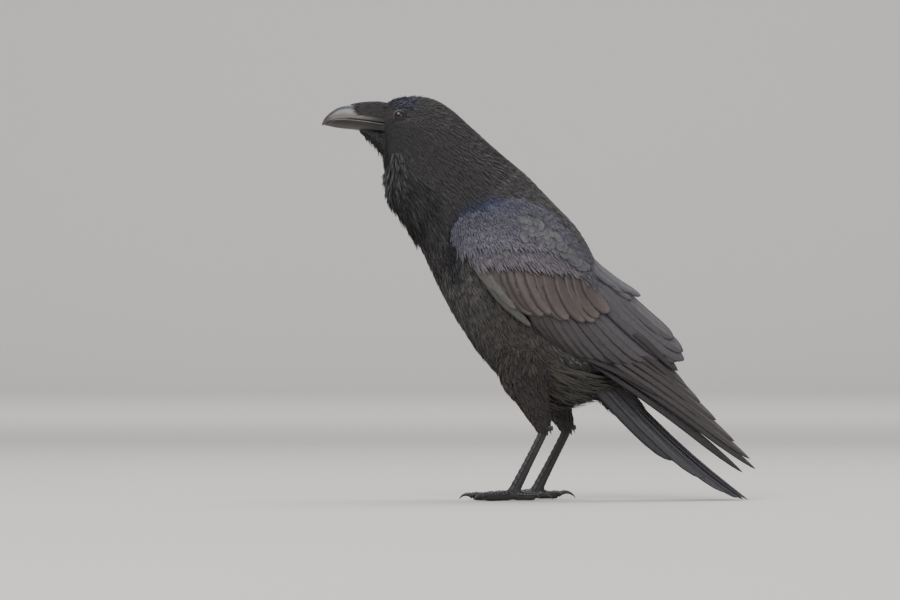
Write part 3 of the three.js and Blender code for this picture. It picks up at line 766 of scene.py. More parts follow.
class Coat:
    """Feathers gathered into one mesh, with their dye, vane map and bake map."""

    tuft = 0.003  # breadth of a feather's patch on the bake map
    longest_step = 0.6  # of a feather's length, between two of its rings
    lowest = 0.0002  # nothing reaches under the floor

    def __init__(self, name: str) -> None:
        """Starts empty."""
        self.name = name
        self.points: list[Array] = []
        self.faces: list[Array] = []
        self.dye: list[Array] = []
        self.vane: list[Array] = []
        self.bake: list[Array] = []
        self.count = 0

    def add(
        self,
        form: FeatherForm,
        centre: Array,
        normal: Array,
        half: Array,
        low: Array,
        high: Array,
        dye: Array,
        tip_dye: Array,
        patch: Array,
        roll: Array,
        rng: np.random.Generator,
        ragged: float = 0.06,
    ) -> None:
        """Adds feathers along middle lines.

        Args:
            form: the kind of feather.
            centre: the middle lines, shape (feathers, rings, 3).
            normal: the way their upper faces look, of the same shape.
            half: half of each feather's greatest breadth.
            low: each root's height over its line.
            high: each tip's height over its line.
            dye: each feather's colour at its root.
            tip_dye: its colour at its tip.
            patch: each root's place on the bake map.
            roll: how far each is turned about its length, in radians.
            rng: the random numbers.
            ragged: how uneven the vanes' edges are.
        """
        n, k = centre.shape[:2]
        shares, widths = form.shares, form.widths
        height = low[:, None] + (high - low)[:, None] * shares**form.rise
        centre = centre + normal * height[..., None]
        ahead = unit(np.gradient(centre, axis=1))
        side = unit(np.cross(normal, ahead))
        up = np.cross(ahead, side)
        c, s = np.cos(roll)[:, None, None], np.sin(roll)[:, None, None]
        side, up = side * c + up * s, up * c - side * s
        section = np.array(form.section, float)
        m = len(section)
        breadth = half[:, None] * widths
        uneven = 1 + rng.normal(0, ragged, (n, k, m)) * np.abs(section[:, 0]) ** 2
        a = breadth[..., None] * section[:, 0] * uneven
        b = -form.camber * breadth[..., None] * section[:, 0] ** 2 + section[:, 1] * form.thickness * (
            0.35 + 0.65 * widths[:, None]
        )
        points = centre[:, :, None] + side[:, :, None] * a[..., None] + up[:, :, None] * b[..., None]
        self.points.append(points.reshape(-1, 3))
        ring = np.arange(m)
        base = (np.arange(k - 1) * m)[:, None]
        walls = np.stack([base + ring, base + m + ring, base + m + (ring + 1) % m, base + (ring + 1) % m], -1)
        caps = np.array([(2 * j, 2 * j + 1, 2 * j + 2, m - 1) for j in range((m - 2) // 2)])
        one = np.concatenate([walls.reshape(-1, 4), caps, caps[:, ::-1] + (k - 1) * m])
        faces = one[None] + (self.count + np.arange(n) * k * m)[:, None, None]
        self.faces.append(faces.reshape(-1, 4))
        self.count += n * k * m
        edge = 1 - 0.25 * np.abs(section[:, 0]) ** 3
        blend = (shares**form.fringe)[None, :, None, None]
        colour = dye[:, None, None] * (1 - blend) + tip_dye[:, None, None] * blend
        colour = np.broadcast_to(colour * edge[:, None], (n, k, m, 3))
        self.dye.append(colour.reshape(-1, 3))
        length = np.linalg.norm(np.diff(centre, axis=1), axis=-1).sum(1)
        along = np.broadcast_to((length[:, None] * shares * 100)[..., None], (n, k, m))
        self.vane.append(np.stack([a * 100, along], -1).reshape(-1, 2))
        local = np.stack(
            np.broadcast_arrays(section[:, 0] / 2, (shares - 0.5)[:, None]), -1
        )
        self.bake.append((patch[:, None, None] + self.tuft * local).reshape(-1, 2))

    def grow(self, form: FeatherForm, bed: Bed, rng: np.random.Generator, roll: float = 0.08) -> None:
        """Adds the feathers of a bed, which follow its surface.

        Args:
            form: the kind of feather, or of strand.
            bed: the roots.
            rng: the random numbers.
            roll: how unevenly the feathers are turned about their length, in radians.
        """
        if bed.strands > 1:
            bed = bed.parted(rng)
        points, normals = bed.sheet.march(bed.u, bed.v, bed.length, bed.turn, form.shares)
        sound = np.linalg.norm(np.diff(points, axis=1), axis=-1).max(1) < bed.length * self.longest_step
        points, normals = points[sound], normals[sound]
        dye = bed.dye[sound]
        self.add(
            form, points, normals, bed.breadth[sound] / 2, bed.low[sound], bed.lift[sound], dye, dye * bed.tip,
            bed.sheet.patch(bed.u, bed.v)[sound], rng.normal(0, roll, len(dye)), rng,
        )

    def build(self, finish: bpy.types.Material) -> bpy.types.Object:
        """The gathered feathers as an object."""
        points, faces = np.concatenate(self.points), np.concatenate(self.faces)
        points[:, 2] = np.maximum(points[:, 2], self.lowest)
        mesh = bpy.data.meshes.new(self.name)
        mesh.vertices.add(len(points))
        mesh.vertices.foreach_set("co", points.ravel())
        mesh.loops.add(faces.size)
        mesh.loops.foreach_set("vertex_index", faces.ravel())
        mesh.polygons.add(len(faces))
        mesh.polygons.foreach_set("loop_start", np.arange(len(faces)) * 4)
        mesh.polygons.foreach_set("use_smooth", np.ones(len(faces), bool))
        mesh.update(calc_edges=True)
        corners = faces.ravel()
        for layer, values in (("OFBake", self.bake), ("vane", self.vane)):
            uv = mesh.uv_layers.new(name=layer)
            uv.data.foreach_set("uv", np.concatenate(values)[corners].ravel())
        store_dye(mesh, np.concatenate(self.dye))
        mesh.materials.append(finish)
        mesh.validate()
        made = bpy.data.objects.new(self.name, mesh)
        bpy.context.scene.collection.objects.link(made)
        LOG.info("%s: %d faces", self.name, len(faces))
        return made


class Hue(Enum):
    """The plumage's colours, as the share of light that each gives back."""

    FACE = (0.02, 0.019, 0.019)
    CROWN = (0.048, 0.046, 0.047)
    CHEEK = (0.023, 0.023, 0.025)
    HEAD = (0.034, 0.032, 0.031)
    NECK = (0.027, 0.026, 0.026)
    THROAT = (0.036, 0.036, 0.037)
    # painted shadow in the hollow before the folded wing's bend
    HOLLOW_SHADE = (0.009, 0.009, 0.011)
    # painted shade over the shoulder, tinted blue as a painted sheen
    SHOULDER_BAND_SHADE = (0.027, 0.035, 0.072)
    MANTLE = (0.09, 0.088, 0.108)
    BREAST = (0.048, 0.046, 0.046)
    BELLY = (0.038, 0.035, 0.031)
    VENT = (0.04, 0.037, 0.029)
    RUMP = (0.055, 0.053, 0.056)
    THIGH = (0.021, 0.018, 0.015)
    # bluish painted sheen on the raised feathers over the eyes
    BROW_SHEEN = (0.027, 0.031, 0.05)
    SCAPULAR = (0.066, 0.065, 0.072)
    # grey shoulder feathers with a blue-violet tint that is a painted sheen of their gloss
    SHOULDER_TONE_AND_SHEEN = (0.067, 0.068, 0.098)
    LESSER = (0.109, 0.102, 0.122)
    MEDIAN = (0.122, 0.108, 0.124)
    GREATER = (0.055, 0.044, 0.04)
    HAND = (0.066, 0.067, 0.06)
    SECONDARY = (0.055, 0.05, 0.055)
    PRIMARY = (0.033, 0.028, 0.026)
    TAIL = (0.052, 0.052, 0.06)
    BRISTLE = (0.035, 0.033, 0.034)
    BILL_SIDE = (0.95, 0.88, 0.84)
    # painted highlight along the culmen: a blue tint, set darker than the sides
    BILL_CULMEN_HIGHLIGHT = (0.28, 0.31, 0.42)
    BILL_TIP = (0.3, 0.28, 0.28)
    BILL_BELOW = (0.06, 0.052, 0.045)
    BILL_EDGE = (1.25, 1.1, 1.0)
    # the mouth's dark lining, also painted shade in the slit between the halves
    MOUTH_AND_GAP_SHADE = (0.03, 0.03, 0.03)

    @property
    def array(self) -> Array:
        """The colour as numbers."""
        return np.array(self.value)


def toned(hue: Array, count: int, rng: np.random.Generator, spread: float = 0.16) -> Array:
    """A colour for each feather, a little lighter or darker than the hue."""
    return hue * np.exp(rng.normal(0, spread, (count, 1)))


def attach(piece: bpy.types.Object, slot: str, *nodes: str) -> bpy.types.Object:
    """Rides a finished piece on the bird and hides the nodes that it stands for."""
    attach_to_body(piece, "root")
    if nodes:
        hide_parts(*nodes)
    LOG.info("%s is in place", piece.name)
    return piece


# ---------------------------------------------------------------- legs, measured from the ground


@dataclass(frozen=True)
class Toe:
    """One toe: its heading from straight ahead, length, pads and claw, in degrees and millimetres."""

    heading: float
    length: float
    pads: int
    claw: float


TOES = {
    "inner": Toe(-24, 31, 2, 16),
    "middle": Toe(2, 42, 3, 17),
    "outer": Toe(27, 33, 3, 15),
    "hind": Toe(176, 25, 2, 22),
}


@dataclass(frozen=True)
class Leg:
    """One leg's path, in millimetres with y outwards."""

    side: float
    thigh: tuple[tuple[float, float, float], ...]
    ankle: tuple[float, float, float]
    ball: tuple[float, float, float]
    thigh_radii: tuple[tuple[float, float], ...] = ((30, 16), (28, 19), (17, 14), (8.4, 7.6))
    shank_radii: tuple[tuple[float, float], ...] = (
        (7, 5), (6, 4.5), (5.1, 3.9), (4.9, 3.7), (5.3, 4.1), (6.4, 5.6),
    )
    sole_drop: float = 3
    toe_radius: float = 4.9
    toe_taper: float = 0.9
    toe_flatness: float = 0.92
    pad_bulge: float = 0.9
    toe_height: float = 4.3
    toe_root_rise: float = 1.8
    claw_radius: float = 3
    claw_tip: float = 0.25
    claw_flatness: float = 0.8
    claw_rise: float = 44
    claw_curl: float = 108

    def outwards(self, point: tuple[float, float, float] | Array) -> Array:
        """A point of this leg in metres, with y towards its own side."""
        return mm(point) * np.array([1, self.side, 1])

    def ahead(self, toe: Toe) -> Array:
        """The way a toe points along the ground."""
        turn = math.radians(toe.heading)
        return np.array([-math.cos(turn), self.side * math.sin(turn), 0])

    def thigh_path(self) -> Array:
        """The knots of the thigh."""
        return np.array([self.outwards(p) for p in self.thigh])

    def shank_path(self) -> Array:
        """The knots of the shank, from inside the thigh to the ball of the foot."""
        sole = (self.ball[0], self.ball[1], self.ball[2] - self.sole_drop)
        return np.array([self.outwards(p) for p in (self.thigh[-1], self.ankle, sole)])

    def toe_line(self, toe: Toe, steps: int) -> tuple[Array, Array]:
        """The middle line of a toe and its radius at each point."""
        place = np.linspace(0, 1, steps + 1)
        points = self.outwards(self.ball) + self.ahead(toe) * (toe.length * place * MM)[:, None]
        points[:, 2] = mm(self.toe_height + self.toe_root_rise * np.maximum(0, 1 - 2.5 * place))
        pad = self.pad_bulge * (0.5 - 0.5 * np.cos(2 * np.pi * toe.pads * place))
        return points, mm(self.toe_radius - self.toe_taper * place + pad)

    def claw_line(self, toe: Toe, steps: int) -> tuple[Array, Array]:
        """The middle line of a claw and its radius at each point."""
        ahead = self.ahead(toe)
        point = self.outwards(self.ball) + ahead * (toe.length - 1) * MM
        point[2] = self.toe_height * MM
        points = [point.copy()]
        for i in range(steps):
            slope = math.radians(self.claw_rise - self.claw_curl * (i + 0.5) / steps)
            point = point + (ahead * math.cos(slope) + np.array([0, 0, math.sin(slope)])) * (
                toe.claw * MM / steps
            )
            points.append(point)
        share = np.linspace(0, 1, steps + 1) ** 1.2
        return np.array(points), mm(self.claw_radius + (self.claw_tip - self.claw_radius) * share)


LEGS = {
    "left": Leg(
        SIDES["left"],
        ((-14, 24, 186), (-16, 35, 138), (-6, 33.5, 106), (4, 31.5, 79)),
        (4.5, 31.5, 71),
        (-27.8, 31, 9.5),
    ),
    "right": Leg(
        SIDES["right"],
        ((2, 24, 186), (4, 35, 138), (17, 33.5, 106), (29, 31.5, 79)),
        (29.5, 31.5, 71),
        (-3.2, 31, 9.5),
    ),
}
SIDEWAYS = np.array([0.0, 1.0, 0.0])


class TubeSheet(Sheet):
    """A tube round a path. u is the share of its length and v the share of a turn."""

    def __init__(self, path: Array, radii: Array) -> None:
        """Takes the path's knots and pairs of radii, fore and aft and sideways."""
        self.path, self.radii = path, radii
        self.outward = 1.0
        centre = spline(path, np.array([0.5 * (len(path) - 1)]))
        point, normal = self.at(np.array([0.5]), np.array([0.25])), self.slopes(np.array([0.5]), np.array([0.25]))[2]
        self.outward = float(np.sign(((point - centre) * normal).sum()))

    def at(self, u: Array, v: Array) -> Array:
        """The points at u and v."""
        last = len(self.path) - 1
        centre = spline(self.path, u * last)
        ahead = unit(spline(self.path, u * last + 0.02) - spline(self.path, u * last - 0.02))
        up = unit(np.cross(SIDEWAYS, ahead))
        across = np.cross(ahead, up)
        deep, wide = np.moveaxis(spline(self.radii, u * (len(self.radii) - 1)), -1, 0)
        turn = 2 * np.pi * v
        return centre + up * (deep * np.cos(turn))[..., None] + across * (wide * np.sin(turn))[..., None]

    def patch(self, u: Array, v: Array) -> Array:
        """Where u and v lie on the unwrap."""
        return np.stack([0.02 + 0.96 * (v % 1), 0.02 + 0.96 * np.clip(u, 0, 1)], -1)


# ---------------------------------------------------------------- skin


# Sections of the chin, from its front: x, top, bottom, half breadth.
CHIN = mm([
    (-189, 390, 388, 2.6), (-182, 389, 383.5, 5.6), (-174, 388, 377, 8.6), (-166, 388, 367.5, 11.2),
    (-160, 389, 359, 12.8), (-153, 390, 353, 14),
])


class ChinSheet(Sheet):
    """The chin under the bill. u counts sections from its front, v is the share of a turn from the top."""

    def at(self, u: Array, v: Array) -> Array:
        """The points at u and v."""
        x, top, bottom, half = np.moveaxis(spline(CHIN, u), -1, 0)
        turn = 2 * np.pi * v
        return np.stack([x, half * np.sin(turn), bottom + (top - bottom) * (0.5 + 0.5 * np.cos(turn))], -1)

    def patch(self, u: Array, v: Array) -> Array:
        """Where u and v lie on the unwrap."""
        return np.stack([0.3 + 0.4 * (v % 1), 0.962 + 0.006 * u], -1)


@dataclass
class Skin:
    """One skin over head, neck, trunk, the wings' arms, thighs, shanks and toes."""

    depth: list[tuple[float, float]] = field(
        default_factory=lambda: [(0, 1.2), (3, 1.8), (6, 2.8), (13, 4)]
    )
    thigh_depth: float = 3
    arm_depth: float = 5
    arm_thickness: float = 12
    voxel: float = 0.002
    smoothing: int = 4

    def build(self, finish: bpy.types.Material) -> bpy.types.Object:
        """Joins the forms of flesh into one skin."""
        lofts = Lofts()
        lofts.add(self._body())
        lofts.add(self._chin())
        for side in SIDES.values():
            lofts.add(self._arm(side))
        for leg in LEGS.values():
            self._leg(lofts, leg)
        rough = lofts.build("flesh")
        joined = rough.modifiers.new("join", "REMESH")
        joined.mode, joined.voxel_size, joined.use_smooth_shade = "VOXEL", self.voxel, True
        smooth = rough.modifiers.new("smooth", "SMOOTH")
        smooth.factor, smooth.iterations = 0.5, self.smoothing
        evaluated = rough.evaluated_get(bpy.context.evaluated_depsgraph_get())
        mesh = bpy.data.meshes.new_from_object(evaluated)
        mesh.name = "skin"
        bpy.data.objects.remove(rough)
        mesh.materials.clear()
        mesh.materials.append(finish)
        piece = bpy.data.objects.new("skin", mesh)
        bpy.context.scene.collection.objects.link(piece)
        return piece

    def _body(self) -> Array:
        """The rings of head, neck and trunk under the feathers."""
        sheet = BodySheet()
        u, v = np.meshgrid(np.linspace(0, 13, 90), np.arange(72) / 72, indexing="ij")
        depth = table(self.depth, u.ravel())[:, 0] * MM
        u, v = u.ravel(), v.ravel()
        rings = sheet.at(u, v) - sheet.slopes(u, v)[2] * depth[:, None]
        return rings.reshape(90, 72, 3)

    def _chin(self) -> Array:
        """The rings of the chin under the bill."""
        u, v = np.meshgrid(np.linspace(0, len(CHIN) - 1, 16), np.arange(28) / 28, indexing="ij")
        return ChinSheet().at(u, v)

    def _arm(self, side: float) -> Array:
        """The rings of one wing's folded arm under its coverts."""
        length, across = np.meshgrid(np.linspace(0.03, 0.6, 30), np.linspace(0.04, 0.9, 16), indexing="ij")
        l, c = length.ravel(), across.ravel()
        step = 0.01
        back = wing_surface(l + step, c) - wing_surface(l - step, c)
        down = wing_surface(l, c + step) - wing_surface(l, c - step)
        normal = unit(np.cross(back, down))
        taper = (np.sin(np.pi * np.clip((c + 0.02) / 0.96, 0, 1)) ** 0.5)[:, None]
        outer = wing_surface(l, c) - normal * self.arm_depth * MM
        inner = outer - normal * self.arm_thickness * MM * taper - normal * MM
        rings = np.concatenate([outer.reshape(30, 16, 3), inner.reshape(30, 16, 3)[:, ::-1]], 1)
        return rings * np.array([1, side, 1])

    def _leg(self, lofts: Lofts, leg: Leg) -> None:
        """Adds a thigh, a shank and four toes."""
        thigh = mm(leg.thigh_radii) - self.thigh_depth * MM
        lofts.add(tube_rings(leg.thigh_path(), thigh, SIDEWAYS, 24, 28))
        lofts.add(tube_rings(leg.shank_path(), mm(leg.shank_radii), SIDEWAYS, 30, 24))
        for toe in TOES.values():
            path, radius = leg.toe_line(toe, 12 * toe.pads)
            level = np.cross(leg.ahead(toe), [0, 0, 1])
            rings = tube_rings(path, np.stack([radius, radius * leg.toe_flatness], -1), level, len(path) - 1, 20)
            rings[..., 2] = np.maximum(rings[..., 2], 0.0004)
            lofts.add(rings)


# ---------------------------------------------------------------- bill and eyes


UPPER_BILL = mm([
    (-158, 416, 395.6, 12.5), (-168, 417.4, 397, 11.4), (-177, 417.4, 398.3, 10.4), (-187, 416.6, 399.4, 9.2),
    (-196, 415.2, 400.3, 8), (-204.5, 413.7, 401, 6.7), (-212, 411, 400.9, 5.2), (-219.5, 406, 398.2, 3.4),
    (-224.6, 400.6, 394.6, 1.9), (-227.3, 395.6, 393.4, 0.7),
])
LOWER_BILL = mm([
    (-158, 394.4, 381, 12), (-168, 395.8, 383.4, 10.9), (-177, 397.3, 385.6, 9.8), (-187, 398.6, 387.6, 8.4),
    (-196, 399.5, 388.9, 7.2), (-204.5, 400.2, 389.7, 5.9), (-213.5, 399.8, 391, 4.2), (-220.5, 396.6, 392.6, 2.3),
    (-224.2, 394, 393, 0.9),
])
BILL_ROUNDNESS = 0.85


@dataclass
class BillSheet(Sheet):
    """One half of the bill. u counts sections from its base, v is the share of a half turn."""

    upper: bool = True

    def __post_init__(self) -> None:
        """Sets which way the surface looks."""
        self.sections = UPPER_BILL if self.upper else LOWER_BILL
        self.outward = -1.0 if self.upper else 1.0

    def at(self, u: Array, v: Array) -> Array:
        """The points at u and v."""
        x, high, low, half = np.moveaxis(spline(self.sections, u), -1, 0)
        flat, crown = (low, high) if self.upper else (high, low)
        turn = np.pi * np.clip(v, -0.5, 0.5)
        return np.stack([x, half * np.sin(turn), flat + (crown - flat) * np.cos(turn) ** BILL_ROUNDNESS], -1)

    def patch(self, u: Array, v: Array) -> Array:
        """Where u and v lie on the unwrap."""
        return np.stack([0.5 + 0.94 * v, (0.05 if self.upper else 0.55) + 0.4 * np.clip(u / 9, 0, 1)], -1)


@dataclass
class Bill:
    """The two horny halves of the bill."""

    steps: int = 84
    sides: int = 48
    floor_points: int = 9
    hollow: tuple[float, float] = (-0.0016, 0.0003)  # of the upper half's floor and the lower half's
    edge: float = 0.0014  # breadth of the pale cutting edges
    tip: tuple[float, float] = (-0.211, -0.2255)  # where the horn starts and ends to darken
    base: tuple[float, float] = (-0.187, -0.163)  # the same at the feathered end, as painted shade under the bristles and feathers
    slit: tuple[float, float] = (0.0004, 0.0009)  # how far the painted shade of the gape's slit reaches up the upper half

    def build(self, finish: bpy.types.Material) -> None:
        """Makes both halves."""
        for name, upper in (("upper", True), ("lower", False)):
            lofts = Lofts()
            rings, dye = self._rings(BillSheet(upper))
            lofts.add(rings)
            piece = lofts.build(f"horn_{name}")
            store_dye(piece.data, self._spread(dye, len(piece.data.vertices)))
            piece.data.materials.append(finish)
            attach(piece, "bill", f"bill_{name}")

    @staticmethod
    def _spread(dye: Array, count: int) -> Array:
        """The rings' colours, with the end rings' own for what closes the ends."""
        flat = dye.reshape(-1, 3)
        rest = np.broadcast_to(flat[-1:], (count - len(flat), 3))
        return np.concatenate([flat, rest])

    def _rings(self, sheet: BillSheet) -> tuple[Array, Array]:
        """One half's rings, flat at the cutting edge and round on the other side, and their colours."""
        place = np.linspace(0, len(sheet.sections) - 1, self.steps)
        u, v = np.meshgrid(place, np.linspace(-0.5, 0.5, self.sides), indexing="ij")
        outer = sheet.at(u, v)
        x, high, low, half = spline(sheet.sections, place).T[:, :, None]
        flat, crown = (low, high) if sheet.upper else (high, low)
        across = np.linspace(1, -1, self.floor_points + 2)[1:-1]
        sunk = np.sign(crown - flat) * self.hollow[0 if sheet.upper else 1] * (1 - across**4)
        floor = np.stack(
            [np.broadcast_to(x, (self.steps, self.floor_points)), half * across, flat + sunk * np.minimum(half / 0.005, 1)],
            -1,
        )
        rise = np.abs(outer[..., 2] - flat)
        ridge = smoothstep(0.3, 0.85, rise / np.abs(crown - flat))[..., None]
        tip = smoothstep(*self.tip, outer[..., 0])[..., None]
        rim = (1 - smoothstep(0.3 * self.edge, self.edge, rise))[..., None] * (1 - 0.8 * tip)
        side, top = (Hue.BILL_SIDE, Hue.BILL_CULMEN_HIGHLIGHT) if sheet.upper else (Hue.BILL_BELOW, Hue.BILL_TIP)
        # on the upper half the ridge takes the culmen's painted highlight colour
        dye = side.array * (1 - ridge) + top.array * ridge
        dye = dye * (1 - rim) + Hue.BILL_EDGE.array * rim * (1 if sheet.upper else 0.55)
        dye = dye * (1 - tip) + Hue.BILL_TIP.array * tip
        # painted shade at the base, under the bristles and small feathers
        base = smoothstep(*self.base, outer[..., 0])[..., None]
        dye = dye * (1 - 0.86 * base)
        if sheet.upper:
            # painted shade of the open slit, along the upper half's edge near the gape
            gape = ((1 - smoothstep(*self.slit, rise)) * smoothstep(-0.207, -0.196, outer[..., 0]))[..., None]
            dye = dye * (1 - gape) + 0.3 * Hue.MOUTH_AND_GAP_SHADE.array * gape
        # the floors: the mouth's dark lining, and painted shade in the gap between the halves
        inner = np.broadcast_to(Hue.MOUTH_AND_GAP_SHADE.array, (self.steps, self.floor_points, 3))
        return np.concatenate([outer, floor], 1), np.concatenate([dye, inner], 1)


@dataclass
class Eyes:
    """Two eyeballs with the rims of their lids."""

    x: float = -145.8
    y: float = 14.7
    z: float = 403
    radius: float = 6.7
    forward: float = 0.16  # how far the gaze leans ahead
    rim: tuple[float, float] = (6.0, 5.5)
    rim_radius: float = 0.85
    rim_set: float = 3.5  # how far outside the eye's centre the rim lies

    def build(self, lid_finish: bpy.types.Material) -> None:
        """Makes both eyes and their lids."""
        for name, side in SIDES.items():
            centre = mm((self.x, side * self.y, self.z))
            gaze = unit(np.array([-self.forward, side, 0.02]))
            lofts = Lofts()
            lofts.add(self._ball(centre, gaze))
            ball = lofts.build(f"eyeball_{name}")
            ball.data.materials.append(
                EyeFinish(f"eye_{name}", tuple(map(float, centre)), tuple(map(float, gaze))).make()
            )
            attach(ball, "eyes", f"eye_{name}")
            lids = self._lids(centre, side, name)
            lids.data.materials.append(lid_finish)
            attach(lids, "plumage")

    def _ball(self, centre: Array, gaze: Array) -> Array:
        """Rings of the ball, about the line of sight."""
        right = unit(np.cross(gaze, [0, 0, 1]))
        up = np.cross(right, gaze)
        polar = np.linspace(0.03, np.pi - 0.03, 30)[:, None]
        turn = np.arange(48) / 48 * 2 * np.pi
        ring = right * np.cos(turn)[:, None] + up * np.sin(turn)[:, None]
        return centre + self.radius * MM * (gaze * np.cos(polar)[..., None] + ring[None] * np.sin(polar)[..., None])

    def _lids(self, centre: Array, side: float, name: str) -> bpy.types.Object:
        """A soft rim round the eye, fuller over its top."""
        turns, around = 56, 12
        a = np.arange(turns) / turns * 2 * np.pi
        b = np.arange(around) / around * 2 * np.pi
        out = np.stack([np.cos(a), np.zeros(turns), np.sin(a)], -1)
        spread = np.stack([self.rim[0] * np.cos(a), np.full(turns, side * self.rim_set), self.rim[1] * np.sin(a)], -1)
        thick = self.rim_radius * (1 + 0.45 * np.clip(np.sin(a), 0, 1)) * (1 + 0.06 * np.sin(a * 14))
        middle = centre + spread * MM
        tube = middle[:, None] + (
            out[:, None] * np.cos(b)[:, None] + np.array([0, side, 0]) * np.sin(b)[:, None]
        ) * (thick * MM)[:, None, None]
        points = tube.reshape(-1, 3)
        faces = []
        for i in range(turns):
            for j in range(around):
                p, q = i * around + j, i * around + (j + 1) % around
                r, s = (p + around) % len(points), (q + around) % len(points)
                faces.append([p, q, s, r] if side < 0 else [p, r, s, q])
        return mesh_object(f"eyelids_{name}", points, faces)


# ---------------------------------------------------------------- feathers of head, neck and trunk


@dataclass(frozen=True)
class Tract:
    """A patch of like feathers on one side of head, neck or trunk, lengths in millimetres."""

    form: FeatherForm
    places: tuple[float, float]  # sections from the bill
    turns: tuple[float, float]  # shares of a turn from the back
    lengths: tuple[tuple[float, float, float], ...]  # place, length at the first turn, at the last
    breadth: float  # of each feather, as a share of its length
    strands: int = 1  # tufts of barbs that each feather is parted into
    rows: float = 0.34  # between rows, as a share of the length
    columns: float = 0.42  # between neighbours, as a share of the breadth
    lift: tuple[float, float] = (0.3, 0.4)  # of the tips over the form, and its spread
    hues: tuple[Hue, Hue] = (Hue.NECK, Hue.NECK)
    tip: float = 1.15  # the tip's lightness as a share of the root's
    uneven: float = 0.16  # how far feathers differ in lightness


CROWN_TRACTS = (
    Tract(
        STRAND, (-0.05, 4.1), (0, 0.2), ((0, 4.2, 4), (2, 6.5, 6), (4.1, 9, 9)), 0.25,
        rows=0.36, columns=0.68, lift=(0.15, 0.25), hues=(Hue.CROWN, Hue.HEAD), tip=1.2, uneven=0.1,
    ),
)
FACE_TRACTS = (
    Tract(
        STRAND, (-0.1, 4.1), (0.2, 0.37), ((0, 3.6, 4), (2, 5.6, 6.5), (4.1, 9, 10)), 0.26,
        rows=0.36, columns=0.68, lift=(0.15, 0.25), hues=(Hue.CHEEK, Hue.HEAD), tip=1.15, uneven=0.1,
    ),
    Tract(
        STRAND, (0.0, 3.0), (0.36, 0.5), ((0, 5, 6), (1.5, 8, 10), (3, 12, 15)), 0.17,
        rows=0.26, columns=0.7, lift=(1.0, 0.9), hues=(Hue.FACE, Hue.THROAT), tip=1.3,
    ),
)
NAPE_TRACTS = (
    Tract(
        STRAND, (3.9, 6.9), (0, 0.32), ((3.9, 9, 9), (5.5, 12, 12.5), (6.9, 15, 15)), 0.19,
        rows=0.3, columns=0.74, lift=(0.15, 0.15), hues=(Hue.HEAD, Hue.HEAD), tip=1.12, uneven=0.1,
    ),
)
THROAT_TRACTS = (
    Tract(
        HACKLE, (2.5, 6.9), (0.27, 0.5), ((2.5, 9, 15), (4, 13, 26), (5.5, 18, 30), (6.9, 18, 24)), 0.11,
        rows=0.12, columns=0.95, lift=(1.1, 1.0), hues=(Hue.THROAT, Hue.NECK), tip=1.7, uneven=0.3,
    ),
)
MANTLE_TRACTS = (
    Tract(
        MOTTLED, (6.6, 13.1), (0, 0.27), ((6.6, 13, 13), (8, 17, 17), (10, 22, 22), (13, 28, 28)), 0.55,
        strands=5, rows=0.3, columns=0.5, lift=(0.5, 0.2), hues=(Hue.HEAD, Hue.MANTLE), tip=2.0,
        uneven=0.12,
    ),
)
BREAST_TRACTS = (
    Tract(
        STRAND, (6.4, 9.8), (0.25, 0.5), ((6.4, 16, 21), (9.8, 21, 24)), 0.5,
        strands=5, rows=0.3, columns=0.55, lift=(0.5, 0.7), hues=(Hue.BREAST, Hue.BELLY), tip=1.45,
        uneven=0.2,
    ),
)
BELLY_TRACTS = (
    Tract(
        STRAND, (9.7, 13.1), (0.22, 0.5), ((9.7, 22, 25), (11, 27, 28), (13, 34, 32)), 0.42,
        strands=5, rows=0.26, columns=0.6, lift=(0.6, 0.9), hues=(Hue.BELLY, Hue.BELLY), tip=1.4,
        uneven=0.2,
    ),
)


